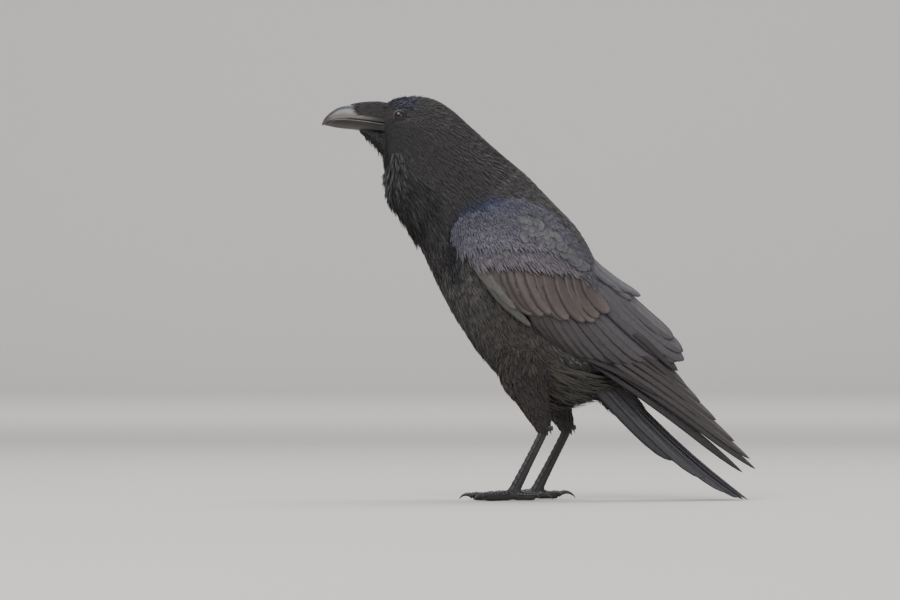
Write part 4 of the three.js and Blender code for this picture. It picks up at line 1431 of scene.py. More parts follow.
@dataclass
class Plumage:
    """The feathers of head, neck, trunk and thighs."""

    seed: int = 41
    depth: list[tuple[float, float]] = field(
        default_factory=lambda: [(0, 1.1), (3, 1.7), (6, 2.6), (13, 3.6)]
    )
    eye_clearance: float = 7.0
    hollow: tuple[tuple[float, float], ...] = (
        (-93, 240), (-97, 262), (-97, 284), (-90, 300), (-72, 311), (-48, 315), (-26, 312),
    )  # the line of painted shade in front of the folded wing, in the side view

    def build(self, finish: bpy.types.Material, wing: Relief) -> None:
        """Makes the coats of head, nape, throat, mantle, breast and thighs."""
        parts = (
            ("crown", CROWN_TRACTS, "head"),
            ("face", FACE_TRACTS, "head"),
            ("nape", NAPE_TRACTS, "neck"),
            ("throat", THROAT_TRACTS, "neck"),
            ("mantle", MANTLE_TRACTS, "trunk"),
            ("breast", BREAST_TRACTS, "trunk"),
            ("belly", BELLY_TRACTS, "trunk"),
        )
        for name, tracts, node in parts:
            coat = Coat(f"plumage_{name}")
            rng = np.random.default_rng(self.seed + len(name))
            for tract in tracts:
                for side in SIDES.values():
                    self._tract(coat, tract, side, rng, wing)
            if name == "face":
                self._chin(coat, rng)
            if name == "crown":
                self._brow(coat, rng)
            if name == "throat":
                self._beard(coat, rng)
            if name == "belly":
                self._vent(coat, rng)
            attach(coat.build(finish), "plumage", node)
        for name, leg in LEGS.items():
            coat = Coat(f"plumage_thigh_{name}")
            self._thigh(coat, leg, np.random.default_rng(self.seed + 7))
            attach(coat.build(finish), "plumage", f"thigh_{name}")

    def _roots(self, tract: Tract, side: float, rng: np.random.Generator) -> tuple[Array, Array, Array]:
        """Staggered rows of roots over a tract, with each feather's length."""
        sheet = BodySheet()
        middle = np.array([sum(tract.turns) / 2])
        us, vs, row, u = [], [], 0, tract.places[0]
        while u < tract.places[1]:
            length = float(table(list(tract.lengths), np.array([u]))[0].mean()) * MM
            share = np.linspace(0, 1, 33)
            arc = sheet.at(np.full(33, u), tract.turns[0] + (tract.turns[1] - tract.turns[0]) * share)
            reach = np.linalg.norm(np.diff(arc, axis=0), axis=1).sum()
            count = max(2, int(reach / (length * tract.breadth * tract.columns)))
            place = (np.arange(count) + 0.25 + 0.5 * (row % 2) + rng.uniform(-0.16, 0.16, count)) / count
            us.append(np.full(count, u) + rng.uniform(-0.12, 0.12, count) * 0.3)
            vs.append(tract.turns[0] + (tract.turns[1] - tract.turns[0]) * place)
            slope = np.linalg.norm(sheet.slopes(np.array([u]), middle)[0])
            u += tract.rows * length / slope
            row += 1
        u, v = np.concatenate(us), np.concatenate(vs)
        lengths = table(list(tract.lengths), u)
        share = (v - tract.turns[0]) / (tract.turns[1] - tract.turns[0])
        length = (lengths[:, 0] * (1 - share) + lengths[:, 1] * share) * MM
        return u, side * v, length * rng.uniform(0.86, 1.14, len(u))

    def _tract(self, coat: Coat, tract: Tract, side: float, rng: np.random.Generator, wing: Relief) -> None:
        """Grows a tract's feathers, but for those that an eye or a wing would hide."""
        sheet = BodySheet()
        u, v, length = self._roots(tract, side, rng)
        root = sheet.at(u, v)
        slope = np.linalg.norm(sheet.slopes(u, v)[0], axis=1)
        tip = sheet.at(u + 0.9 * length / slope, v)
        eye = mm((Eyes.x, Eyes.z))
        from_root = np.linalg.norm(root[:, [0, 2]] - eye, axis=1) / MM
        from_tip = np.linalg.norm(tip[:, [0, 2]] - eye, axis=1) / MM
        length = np.where(from_tip < self.eye_clearance, length * np.clip((from_root - 5) / 4, 0.3, 1), length)
        near = (from_root < self.eye_clearance - 1.2) | (
            (from_root < self.eye_clearance + 1.4) & (from_tip < self.eye_clearance)
        )
        between = (np.abs(v) > 0.11) & (np.abs(v) < 0.43)  # the rump shows between the wings
        covered = self._under(wing, root) & self._under(wing, tip) & between
        keep = ~near & ~covered
        u, v, length = u[keep], v[keep], length[keep]
        count = len(u)
        share = smoothstep(tract.places[0], tract.places[1], u)[:, None]
        hue = tract.hues[0].array * (1 - share) + tract.hues[1].array * share
        # the feathers' colours, with painted shade before the wing's bend
        dye = self._painted_shade(toned(hue, count, rng, tract.uneven), sheet.at(u, v))
        turn = rng.normal(0, 0.08, count) * side
        lift = mm(tract.lift[0] + tract.lift[1] * rng.normal(0, 0.6, count))
        low = -table(self.depth, u)[:, 0] * MM
        bed = Bed(sheet, u, v, length, turn, length * tract.breadth, low, lift, dye, tract.tip, tract.strands)
        coat.grow(tract.form, bed, rng)

    def _painted_shade(self, dye: Array, points: Array) -> Array:
        """Paints shade onto the feathers in the hollow before the wing's bend, tinted bluish over the shoulder as a
        painted sheen.
        """
        line = spline(mm(self.hollow), np.linspace(0, len(self.hollow) - 1, 60))
        apart = np.linalg.norm(points[:, None, [0, 2]] - line[None], axis=-1)
        along = smoothstep(20, 44, np.argmin(apart, axis=1).astype(float))[:, None]
        hue = Hue.HOLLOW_SHADE.array * (1 - along) + Hue.SHOULDER_BAND_SHADE.array * along
        depth = (1 - smoothstep(0.004, 0.012, apart.min(axis=1)))[:, None]
        return dye * (1 - depth) + hue * depth

    def _beard(self, coat: Coat, rng: np.random.Generator) -> None:
        """Long pointed hackles whose tips stand off the throat."""
        for side in SIDES.values():
            count = 400
            u, v = rng.uniform(1.6, 5.1, count), side * (0.5 - 0.2 * rng.uniform(0, 1, count) ** 1.3)
            length = np.interp(u, [1.6, 2.6, 4, 5.2], [9, 17, 28, 32]) * MM * rng.uniform(0.8, 1.2, count)
            bed = Bed(
                BodySheet(), u, v, length, rng.normal(0, 0.1, count), mm(rng.uniform(2.6, 3.8, count)),
                np.full(count, -0.001), mm(rng.uniform(1.5, 6.5, count)),
                # painted shade: the hackles darken down the throat towards the breast
                toned(Hue.THROAT.array, count, rng, 0.4) * np.interp(u, [2, 2.8, 3.6, 5], [1.2, 0.8, 0.35, 0.3])[:, None], 1.9,
            )
            coat.grow(HACKLE, bed, rng, 0.15)

    def _vent(self, coat: Coat, rng: np.random.Generator) -> None:
        """Long loose feathers that leave the rounded end of the trunk and flow under the tail."""
        count = 300
        u, v = rng.uniform(11.2, 12.9, count), rng.uniform(0.3, 0.7, count)
        length = rng.uniform(34, 56, count) * MM
        bed = Bed(
            BodySheet(), u, v - (v > 0.5), length, rng.normal(0, 0.12, count), length * 0.26,
            np.full(count, -0.003), mm(rng.uniform(2, 14, count)), toned(Hue.VENT.array, count, rng, 0.2), 1.3, 4,
        )
        coat.grow(LOOSE, bed, rng)

    @staticmethod
    def _under(wing: Relief, points: Array) -> Array:
        """Whether points lie well inside the folded wing's outline in the side view."""
        i, k = np.round((points[:, [0, 2]] - wing.low) / wing.pitch).astype(int).T
        return wing.inner[np.clip(i, 0, wing.size[0] - 1), np.clip(k, 0, wing.size[1] - 1)]

    def _chin(self, coat: Coat, rng: np.random.Generator) -> None:
        """Short shaggy feathers under the bill, lying back towards the throat."""
        sheet, count = ChinSheet(), 1500
        whiskers = 90
        u = rng.uniform(0, 1, count) ** 0.8 * (len(CHIN) - 1.2)
        v = rng.uniform(0.14, 0.86, count)
        length = np.interp(u, [0, 5], [4.5, 9]) * MM * rng.uniform(0.8, 1.25, count)
        rear = smoothstep(len(CHIN) - 2.6, len(CHIN) - 1.4, u)
        length = length * (1 + 0.9 * rear)
        bed = Bed(
            sheet, u, v, length, rng.normal(0, 0.12, count), length * 0.17, np.full(count, -0.0006),
            mm(rng.uniform(0.3, 2.4, count) + 3.4 * rear), toned(Hue.FACE.array, count, rng), 1.4,
        )
        coat.grow(STRAND, bed, rng)
        u, v = rng.uniform(0.3, len(CHIN) - 1.4, whiskers), rng.uniform(0.38, 0.62, whiskers)
        bed = Bed(
            sheet, u, v, mm(rng.uniform(8, 14, whiskers)), rng.normal(0, 0.2, whiskers),
            mm(rng.uniform(0.8, 1.6, whiskers)), np.full(whiskers, -0.0006), mm(rng.uniform(3, 6, whiskers)),
            toned(Hue.FACE.array, whiskers, rng), 1.4,
        )
        coat.grow(HACKLE, bed, rng, 0.2)

    def _brow(self, coat: Coat, rng: np.random.Generator) -> None:
        """The raised feather tips over each eye, their gloss painted as a bluish sheen with pale tips."""
        sheet = BodySheet()
        for side in SIDES.values():
            count = 150
            u, v = rng.uniform(0.3, 2.1, count), side * rng.uniform(0.02, 0.15, count)
            length = rng.uniform(3.5, 6, count) * MM
            bed = Bed(
                sheet, u, v, length, rng.normal(0, 0.25, count), length * 0.3, np.full(count, -0.0005),
                mm(rng.uniform(0.5, 2.2, count)), toned(Hue.BROW_SHEEN.array, count, rng, 0.5), 1.8,
            )
            coat.grow(LOOSE, bed, rng, 0.2)

    def _thigh(self, coat: Coat, leg: Leg, rng: np.random.Generator) -> None:
        """Feathers down a thigh, loose and ragged over the ankle."""
        sheet = TubeSheet(leg.thigh_path(), mm(leg.thigh_radii))
        us, vs, u, row = [], [], 0.05, 0
        while u < 0.97:
            length = np.interp(u, [0, 0.6, 1], [24, 20, 12]) * MM
            deep, wide = spline(mm(leg.thigh_radii), np.array([u * 3]))[0]
            count = max(9, int(np.pi * (deep + wide) / (length * 0.4 * 0.55)))
            vs.append((np.arange(count) + 0.5 * (row % 2) + rng.uniform(-0.2, 0.2, count)) / count)
            us.append(np.full(count, u) + rng.uniform(-0.015, 0.015, count))
            u += 0.24 * length / 0.118
            row += 1
        u, v = np.concatenate(us), np.concatenate(vs)
        count = len(u)
        ragged = np.interp(u, [0.5, 1], [0.2, 0.5])
        length = np.interp(u, [0, 0.6, 1], [25, 21, 12]) * MM * (1 + rng.uniform(-1, 1, count) * ragged)
        low = np.interp(u, [0, 0.8, 1], [-3, -2.5, -1.2]) * MM
        high = np.interp(u, [0, 0.8, 1], [0.8, 0.7, 0.9]) * MM * rng.uniform(0, 1.8, count)
        bed = Bed(
            sheet, u, v, length, rng.normal(0, 0.1, count), length * 0.42, low, high,
            toned(Hue.THIGH.array, count, rng, 0.25), 1.35, strands=3, fan=0.16,
        )
        coat.grow(STRAND, bed, rng)


@dataclass
class NasalBristles:
    """The stiff feathers that lie forward over the base of the bill."""

    count: int = 1900
    lores: int = 520
    seed: int = 5

    def build(self, finish: bpy.types.Material) -> None:
        """Makes the bristles of both sides as one coat, with the small feathers behind the gape."""
        rng = np.random.default_rng(self.seed)
        coat = Coat("nasal_bristles")
        u = rng.uniform(-0.2, 2.3, self.count)
        reach = np.interp(u, [0, 1.2, 2.4], [0.45, 0.44, 0.41])
        v = rng.uniform(-1, 1, self.count) * reach
        length = np.interp(u, [0, 2.3], [9, 16]) * MM * rng.uniform(0.6, 1.2, self.count)
        high = rng.uniform(0.1, 1, self.count) * np.interp(u, [0, 2.3], [1.3, 0.8])
        low = rng.uniform(0, 0.9, self.count)
        self._grow(coat, BillSheet(), u, v, length, 0, low, high, rng)
        for upper in (True, False):
            u = rng.uniform(-0.1, 0.75, self.lores) * rng.uniform(0.4, 1, self.lores)
            v = rng.uniform(0.2, 0.49, self.lores) * rng.choice([-1, 1], self.lores)
            length = rng.uniform(4.5, 9.5, self.lores) * MM
            low, high = np.full(self.lores, -0.5), rng.uniform(0.5, 3.6, self.lores)
            self._grow(coat, BillSheet(upper), u, v, length, math.pi, low, high, rng)
        attach(coat.build(finish), "plumage")

    @staticmethod
    def _grow(
        coat: Coat, sheet: BillSheet, u: Array, v: Array, length: Array, way: float, low: Array, high: Array,
        rng: np.random.Generator,
    ) -> None:
        """Adds bristles to a coat, from roots on one half of the bill."""
        count = len(u)
        dye = toned(Hue.BRISTLE.array, count, rng, 0.3)
        breadth = mm(rng.uniform(0.4, 0.72, count))
        turn = way + rng.normal(0, 0.11, count)
        coat.grow(BRISTLE, Bed(sheet, u, v, length, turn, breadth, mm(low), mm(high), dye, 1.5), rng)


# ---------------------------------------------------------------- wings


@dataclass(frozen=True)
class Rank:
    """A rank of wing feathers between two lines in the side view, in millimetres."""

    form: FeatherForm
    count: int
    roots: tuple[tuple[float, float], ...]
    tips: tuple[tuple[float, float], ...]
    breadth: tuple[float, float]  # of the first feather and the last
    low: float
    high: tuple[float, float]
    sag: float = 0
    roll: float = 7  # degrees that each feather's outer edge is raised
    hues: tuple[Hue, Hue] = (Hue.GREATER, Hue.GREATER)
    tip: float = 1.1
    over_body: bool = False  # whether it lies on wing and body together
    uneven: float = 0.8  # how far tips stray from their line


FLIGHT_RANKS = (
    Rank(
        QUILL, 10, ((-20, 232), (0, 236), (20, 240), (38, 246)),
        ((30, 152), (52, 141.5), (79.3, 138.1), (106.6, 141.8), (129.7, 147.8)),
        (19, 24), -5.5, (-3.4, -0.6), sag=7, hues=(Hue.PRIMARY, Hue.SECONDARY),
    ),
    Rank(
        QUILL, 4, ((34, 246), (46, 254), (56, 262)),
        ((141, 147), (152.4, 147), (150, 158), (136, 176)),
        (28, 22), -3.5, (-0.4, 1.4), sag=5, hues=(Hue.SECONDARY, Hue.SECONDARY),
    ),
)
COVERT_RANKS = (
    Rank(
        COVERT, 3, ((-76, 262), (-70, 254)), ((-24, 192), (-14, 186), (-8, 181)), (11, 11), -5, (-2.8, -1.6),
        sag=5, hues=(Hue.HAND, Hue.HAND), tip=1.2,
    ),
    Rank(
        COVERT, 4, ((-84, 268), (-70, 264)), ((-46, 223), (-38, 214), (-30, 204), (-22, 199)), (9, 11), -4, (-1.6, -0.8),
        sag=3, hues=(Hue.HAND, Hue.HAND), tip=1.5,
    ),
    Rank(
        COVERT, 5, ((34, 272), (46, 264), (56, 256), (62, 252)),
        ((76, 229), (88, 219), (97, 210), (101, 218), (112, 208.5)), (13, 12), -4, (0.2, 1.4), sag=3,
        hues=(Hue.SCAPULAR, Hue.SCAPULAR), tip=1.0, over_body=True, uneven=1.5,
    ),
    Rank(
        COVERT, 11,
        ((-56, 268), (-38, 270), (-18, 268), (2, 264), (22, 260), (42, 256), (56, 252)),
        ((-20, 199), (-9, 196.5), (6.4, 194), (26, 191.5), (43.6, 189.5), (61, 191), (79, 197)),
        (14, 24), -4.6, (-1.2, 1.2), sag=9, hues=(Hue.GREATER, Hue.GREATER), tip=1.9, over_body=True, uneven=2.0,
        roll=4.5,
    ),
)


@dataclass(frozen=True)
class ScaleRows:
    """Rows of small rounded feathers over a part of the side view, in millimetres."""

    form: FeatherForm
    lines: tuple[tuple[tuple[float, float], ...], ...]  # the first row's roots and the last row's
    rows: int
    length: tuple[float, float]
    heading: tuple[float, float]  # degrees downwards from the tail's way, first end and last end
    breadth: float
    low: float
    high: tuple[float, float]
    hues: tuple[Hue, Hue]
    spacing: float = 0.5  # between neighbours, as a share of the breadth
    strands: int = 1
    tip: float = 1.3


SCALE_ROWS = (
    ScaleRows(
        MOTTLED,
        (
            ((-74, 266), (-56, 272), (-36, 273), (-14, 271), (10, 267), (36, 262)),
            ((-76, 259), (-58, 261), (-38, 261), (-16, 259), (8, 255), (40, 251)),
        ),
        3, (20, 26), (64, 50), 0.6, -2.6, (-0.7, 0.1), (Hue.LESSER, Hue.MEDIAN), spacing=0.36, strands=7, tip=1.15,
    ),
    ScaleRows(
        MOTTLED,
        (
            ((-91, 276), (-90, 287), (-83, 297), (-66, 303), (-46, 303), (-26, 297), (-8, 287)),
            ((-84, 263), (-74, 266), (-56, 270), (-38, 272), (-20, 271), (0, 268), (16, 264)),
        ),
        14, (9.5, 15), (68, 50), 0.52, -1.3, (1.2, 0.5), (Hue.SHOULDER_TONE_AND_SHEEN, Hue.LESSER), strands=3, tip=1.4,
    ),
    ScaleRows(
        MOTTLED,
        (
            ((-58, 312), (-40, 319), (-20, 319), (4, 307), (27, 286), (47, 261)),
            ((-46, 303), (-30, 302), (-12, 298), (6, 289), (24, 275), (42, 258)),
        ),
        6, (13, 16), (58, 60), 0.6, -2, (0.6, 0.7), (Hue.SHOULDER_TONE_AND_SHEEN, Hue.SCAPULAR), spacing=0.55, strands=6, tip=1.7,
    ),
    ScaleRows(
        COVERT,
        (
            ((-28, 306), (-8, 300), (10, 288), (26, 272), (42, 256)),
            ((-22, 296), (-6, 290), (8, 281), (22, 270), (36, 258)),
        ),
        5, (19, 25), (58, 58), 0.5, -2, (0.9, 0.8), (Hue.SCAPULAR, Hue.SCAPULAR), spacing=0.7, tip=1.45,
    ),
)


@dataclass
class Wings:
    """The feathers of both folded wings, with the scapulars that lie over their roots."""

    seed: int = 17
    primaries: tuple[tuple[tuple[float, float, float], tuple[float, float, float], float, float], ...] = (
        ((56, 30, 184), (169.6, 7, 103), 19, 1.05), ((52, 33, 179), (186.4, 6, 84), 19, 1.1),
        ((48, 36, 174), (205.3, 5.5, 62), 18, 1.2), ((42, 39, 170), (221.5, 5.5, 43.5), 17, 1.3),
        ((36, 42, 166), (227.3, 7, 33), 16, 0.8), ((30, 44, 163), (213.7, 9.5, 29.4), 15, 0.5),
        ((24, 46, 161), (144.4, 24, 99.5), 12, 0.4), ((60, 29, 190), (156, 8.5, 118), 20, 0.9),
        ((70, 26, 200), (146, 10, 136), 20, 0.7),
    )  # root, tip, breadth and brightness, whose low values are painted shade on the quills in shadow
    primary_face: tuple[float, float, float] = (0.42, 0.72, 0.55)
    primary_bow: tuple[float, float, float] = (3, 3, 4)

    def reliefs(self) -> tuple[Relief, Relief]:
        """The relief of the wing alone, and of the wing together with the body."""
        length, across = np.meshgrid(np.linspace(0, 1.02, 900), np.linspace(0, 1, 500), indexing="ij")
        wing = wing_surface(length.ravel(), across.ravel())
        u, v = np.meshgrid(np.linspace(0, 13, 1300), np.linspace(0, 0.5, 500), indexing="ij")
        body = BodySheet().at(u.ravel(), v.ravel())
        return Relief(wing, smoothing=4), Relief(wing, body, smoothing=14)

    def build(self, finish: bpy.types.Material, wing: Relief, whole: Relief) -> None:
        """Makes a coat of flight feathers and a coat of coverts for each wing."""
        for name, side in SIDES.items():
            rng = np.random.default_rng(self.seed)
            flight = Coat(f"feathers_wing_{name}_flight")
            self._primaries(flight, side, rng)
            sheets = {False: FlankSheet(wing, side), True: FlankSheet(whole, side)}
            for rank in FLIGHT_RANKS:
                self._rank(flight, rank, sheets[rank.over_body], rng)
            attach(flight.build(finish), "plumage", f"wing_{name}_quills", f"wing_{name}_primaries")
            coverts = Coat(f"feathers_wing_{name}_coverts")
            for rank in COVERT_RANKS:
                self._rank(coverts, rank, sheets[rank.over_body], rng)
            for area in SCALE_ROWS:
                self._scales(coverts, area, sheets[True], rng)
            attach(coverts.build(finish), "plumage", f"wing_{name}_coverts")

    def _primaries(self, coat: Coat, side: float, rng: np.random.Generator) -> None:
        """The long quills that reach out past the wing's body."""
        mirror = np.array([1, side, 1])
        roots = mm([p[0] for p in self.primaries]) * mirror
        tips = mm([p[1] for p in self.primaries]) * mirror
        middles = (roots + tips) / 2 + mm(self.primary_bow) * mirror
        knots = np.stack([roots, middles, tips])
        points = np.stack([spline(knots.reshape(3, -1), np.array([2 * s]))[0].reshape(-1, 3) for s in BLADE.shares], 1)
        face = unit(np.array(self.primary_face) * mirror)
        normals = np.broadcast_to(face, points.shape)
        count = len(roots)
        bright = np.array([p[3] for p in self.primaries])[:, None]
        # brightness below 1 paints shade on the quills that lie in shadow
        dye = toned(Hue.PRIMARY.array, count, rng, 0.06) * bright
        patch = np.stack([0.1 + 0.1 * np.arange(count), np.full(count, 0.06)], -1)
        coat.add(
            BLADE, points, normals, mm([p[2] for p in self.primaries]) / 2, np.zeros(count), np.zeros(count),
            dye, dye, patch, np.radians(np.full(count, 4.0 * side)), rng, ragged=0.02,
        )

    def _rank(self, coat: Coat, rank: Rank, sheet: FlankSheet, rng: np.random.Generator) -> None:
        """One rank of feathers, each a little over the one before."""
        share = (np.arange(rank.count) + 0.5) / rank.count
        root = spline(mm(rank.roots), share * (len(rank.roots) - 1))
        tip = spline(mm(rank.tips), share * (len(rank.tips) - 1))
        tip = tip + mm(rng.normal(0, rank.uneven, tip.shape))
        points, normals = sheet.between(root, tip, np.full(rank.count, rank.sag * MM), rank.form.shares)
        half = np.interp(share, [0, 1], rank.breadth) / 2 * MM
        high = mm(np.interp(share, [0, 1], rank.high))
        hue = rank.hues[0].array * (1 - share[:, None]) + rank.hues[1].array * share[:, None]
        dye = toned(hue, rank.count, rng, 0.08)
        coat.add(
            rank.form, points, normals, half, np.full(rank.count, rank.low * MM), high, dye, dye * rank.tip,
            sheet.patch(root[:, 0], root[:, 1]), np.radians(np.full(rank.count, rank.roll * sheet.side)), rng,
            ragged=0.025,
        )

    def _scales(self, coat: Coat, area: ScaleRows, sheet: FlankSheet, rng: np.random.Generator) -> None:
        """Rows of small feathers, from the last row back to the first."""
        first, last = (mm(line) for line in area.lines)
        roots, lengths, turns, shares = [], [], [], []
        for row in range(area.rows):
            down = row / (area.rows - 1)
            length = np.interp(down, [0, 1], area.length) * MM
            a, b = (spline(line, np.linspace(0, len(line) - 1, 60)) for line in (first, last))
            line = a * (1 - down) + b * down
            reach = np.concatenate([[0], np.cumsum(np.linalg.norm(np.diff(line, axis=0), axis=1))])
            count = int(reach[-1] / (length * area.breadth * area.spacing))
            place = (np.arange(count) + 0.25 + 0.5 * (row % 2) + rng.uniform(-0.12, 0.12, count)) / count
            at = np.interp(place * reach[-1], reach, np.linspace(0, 59, 60))
            roots.append(spline(line, at))
            lengths.append(length * rng.uniform(0.9, 1.1, count))
            turns.append(np.radians(np.interp(place, [0, 1], area.heading) + rng.normal(0, 4, count)))
            shares.append(np.full(count, down) * 0.6 + place * 0.4)
        root, length, turn, share = map(np.concatenate, (roots, lengths, turns, shares))
        count = len(root)
        root = root + rng.normal(0, 0.08, (count, 2)) * length[:, None]
        hue = area.hues[0].array * (1 - share[:, None]) + area.hues[1].array * share[:, None]
        high = mm(np.interp(share, [0, 1], area.high) + rng.normal(0, 0.15, count))
        bed = Bed(
            sheet, root[:, 0], root[:, 1], length, turn, length * area.breadth, np.full(count, area.low * MM), high,
            toned(hue, count, rng, 0.08), area.tip, area.strands,
        )
        coat.grow(area.form, bed, rng, 0.05)


# ---------------------------------------------------------------- tail


@dataclass
class TailSheet(Sheet):
    """The form of the tail's coverts. u is the distance along the tail and v the share of a turn."""

    root: tuple[float, float, float] = (54, 0, 160)
    length: float = 231
    slope_at_root: float = 52.5
    slope_at_tip: float = 35.5
    sections: tuple[tuple[float, ...], ...] = (
        (-14, 20, 14, 24), (12, 21, 12, 23), (38, 20, 9, 20), (64, 17, 5, 15.5), (88, 13, 1.5, 11.5),
        (106, 7, -2.5, 8),
    )  # distance, half breadth, above, below

    def line(self, distance: Array, sideways: Array, above: Array) -> Array:
        """Points beside the tail's middle line, all in millimetres, as metres."""
        bend = self.slope_at_root - self.slope_at_tip
        steps = 12
        point = np.zeros((*np.shape(distance), 3)) + np.array(self.root)
        for i in range(steps):
            slope = np.radians(self.slope_at_root - bend * (i + 0.5) * distance / steps / self.length)
            point = point + np.stack([np.cos(slope), 0 * slope, -np.sin(slope)], -1) * (
                np.asarray(distance)[..., None] / steps
            )
        slope = np.radians(self.slope_at_root - bend * distance / self.length)
        point = point + np.stack([np.sin(slope), 0 * slope, np.cos(slope)], -1) * np.asarray(above)[..., None]
        return (point + np.stack([0 * slope, sideways + 0 * slope, 0 * slope], -1)) * MM

    def at(self, u: Array, v: Array) -> Array:
        """The points at u and v."""
        distance = u / MM
        half, above, below = np.moveaxis(table(list(self.sections), distance), -1, 0)
        turn = 2 * np.pi * v
        height = -below + (above + below) * (0.5 + 0.5 * np.cos(turn))
        return self.line(distance, half * np.sin(turn), height)

    def patch(self, u: Array, v: Array) -> Array:
        """Where u and v lie on the unwrap."""
        return np.stack([0.02 + 0.96 * (v % 1), 0.3 + 0.6 * np.clip(u / 0.12, 0, 1)], -1)


@dataclass
class Tail:
    """Six pairs of tail feathers and the coverts over and under their roots."""

    seed: int = 29
    breadth: float = 27
    half_gap: float = 1.5
    spread: tuple[float, float] = (3, 4.4)  # at root and tip
    first_roll: float = 6
    roll: float = 9
    covert_rows: int = 10
    stack: tuple[tuple[float, float, float, float], ...] = (
        (0, 0, 0, 1), (5, 1.5, 2.4, 1.1), (11, 3, 4.6, 1.05), (23, 4.4, 6.6, 1), (50, 6, 9, 0.8),
        (86, 14, 15, 0.7),
    )  # of each pair from the middle outward: how much shorter, how far under at root and tip, how bright

    def build(self, finish: bpy.types.Material, soft: bpy.types.Material) -> None:
        """Makes the tail's glossy coat, and that of the dull outermost pair and the coverts."""
        coat, dull, sheet = Coat("feathers_tail"), Coat("feathers_tail_coverts"), TailSheet()
        rng = np.random.default_rng(self.seed)
        slope = math.radians((sheet.slope_at_root + sheet.slope_at_tip) / 2)
        shares = BLADE.shares
        for side in SIDES.values():
            for pair, (shorter, root_drop, tip_drop, bright) in enumerate(self.stack):
                length = sheet.length - shorter
                step = self.spread[0] + (self.spread[1] - self.spread[0]) * shares
                sink = root_drop + (tip_drop - root_drop) * shares
                points = sheet.line(length * shares, side * (self.half_gap + step * pair), -sink)[None]
                roll = math.radians(self.first_roll + self.roll * pair)
                face = unit(np.array([math.sin(slope), side * math.tan(roll), math.cos(slope)]))
                dye = toned(Hue.TAIL.array * bright, 1, rng, 0.05)
                (dull if shorter > 80 else coat).add(
                    TAIL_BLADE, points, np.broadcast_to(face, points.shape), mm([self.breadth / 2]), np.zeros(1),
                    np.zeros(1), dye, dye * 0.95, np.array([[0.1 + 0.06 * pair + 0.4 * (side > 0), 0.1]]),
                    np.zeros(1), rng, ragged=0.015,
                )
        self._coverts(dull, sheet, rng)
        attach(coat.build(finish), "plumage", "tail")
        attach(dull.build(soft), "plumage", "tail")

    def _coverts(self, coat: Coat, sheet: TailSheet, rng: np.random.Generator) -> None:
        """Rows of coverts round the tail's root."""
        rows = np.linspace(-12, 84, self.covert_rows)
        us, vs = [], []
        for i, distance in enumerate(rows):
            count = 22
            us.append(np.full(count, distance * MM))
            vs.append((np.arange(count) + 0.5 * (i % 2) + rng.uniform(-0.2, 0.2, count)) / count)
        u, v = np.concatenate(us), np.concatenate(vs)
        count = len(u)
        length = np.interp(u / MM, [-12, 84], [40, 34]) * MM * rng.uniform(0.8, 1.2, count)
        below = (1 - np.cos(2 * np.pi * v))[:, None] / 2
        hue = Hue.RUMP.array * (1 - below) + Hue.VENT.array * below
        bed = Bed(
            sheet, u, v, length, rng.normal(0, 0.05, count), length * 0.3, np.full(count, -0.0025),
            mm(rng.uniform(0.3, 1.6, count)), toned(hue, count, rng), 1.15, 5,
        )
        coat.grow(LOOSE, bed, rng)
        count = 150
        u, v = rng.uniform(-0.012, 0.05, count), rng.uniform(0.4, 0.6, count)
        length = rng.uniform(34, 48, count) * MM
        bed = Bed(
            sheet, u, v, length, rng.normal(0, 0.06, count), length * 0.3, np.full(count, -0.0025),
            mm(rng.uniform(4, 13, count)), toned(Hue.VENT.array, count, rng), 1.2, 5,
        )
        coat.grow(LOOSE, bed, rng)


TAIL_BLADE = FeatherForm(
    ((0, 0.3), (0.06, 0.6), (0.16, 0.85), (0.3, 0.98), (0.45, 1), (0.6, 1), (0.74, 0.98), (0.84, 0.92),
     (0.91, 0.8), (0.955, 0.62), (0.985, 0.36), (1, 0.08)),
    QUILL_SECTION, 0.0012, camber=0.1,
)


# ---------------------------------------------------------------- claws and scales


@dataclass
class Claws:
    """Eight curved claws, with a keel under each."""

    steps: int = 18
    sides: int = 16

    def build(self, finish: bpy.types.Material) -> None:
        """Makes each claw as a piece of its own."""
        for name, leg in LEGS.items():
            for toe_name, toe in TOES.items():
                path, radius = leg.claw_line(toe, self.steps)
                level = np.cross(leg.ahead(toe), [0, 0, 1])
                rings = tube_rings(
                    path, np.stack([radius, radius * leg.claw_flatness], -1), level, self.steps, self.sides
                )
                rings[..., 2] = np.maximum(rings[..., 2], 0.0001)
                lofts = Lofts()
                lofts.add(rings)
                piece = lofts.build(f"talon_{name}_{toe_name}")
                piece.data.materials.append(finish)
                attach(piece, "claws", f"claw_{name}_{toe_name}")


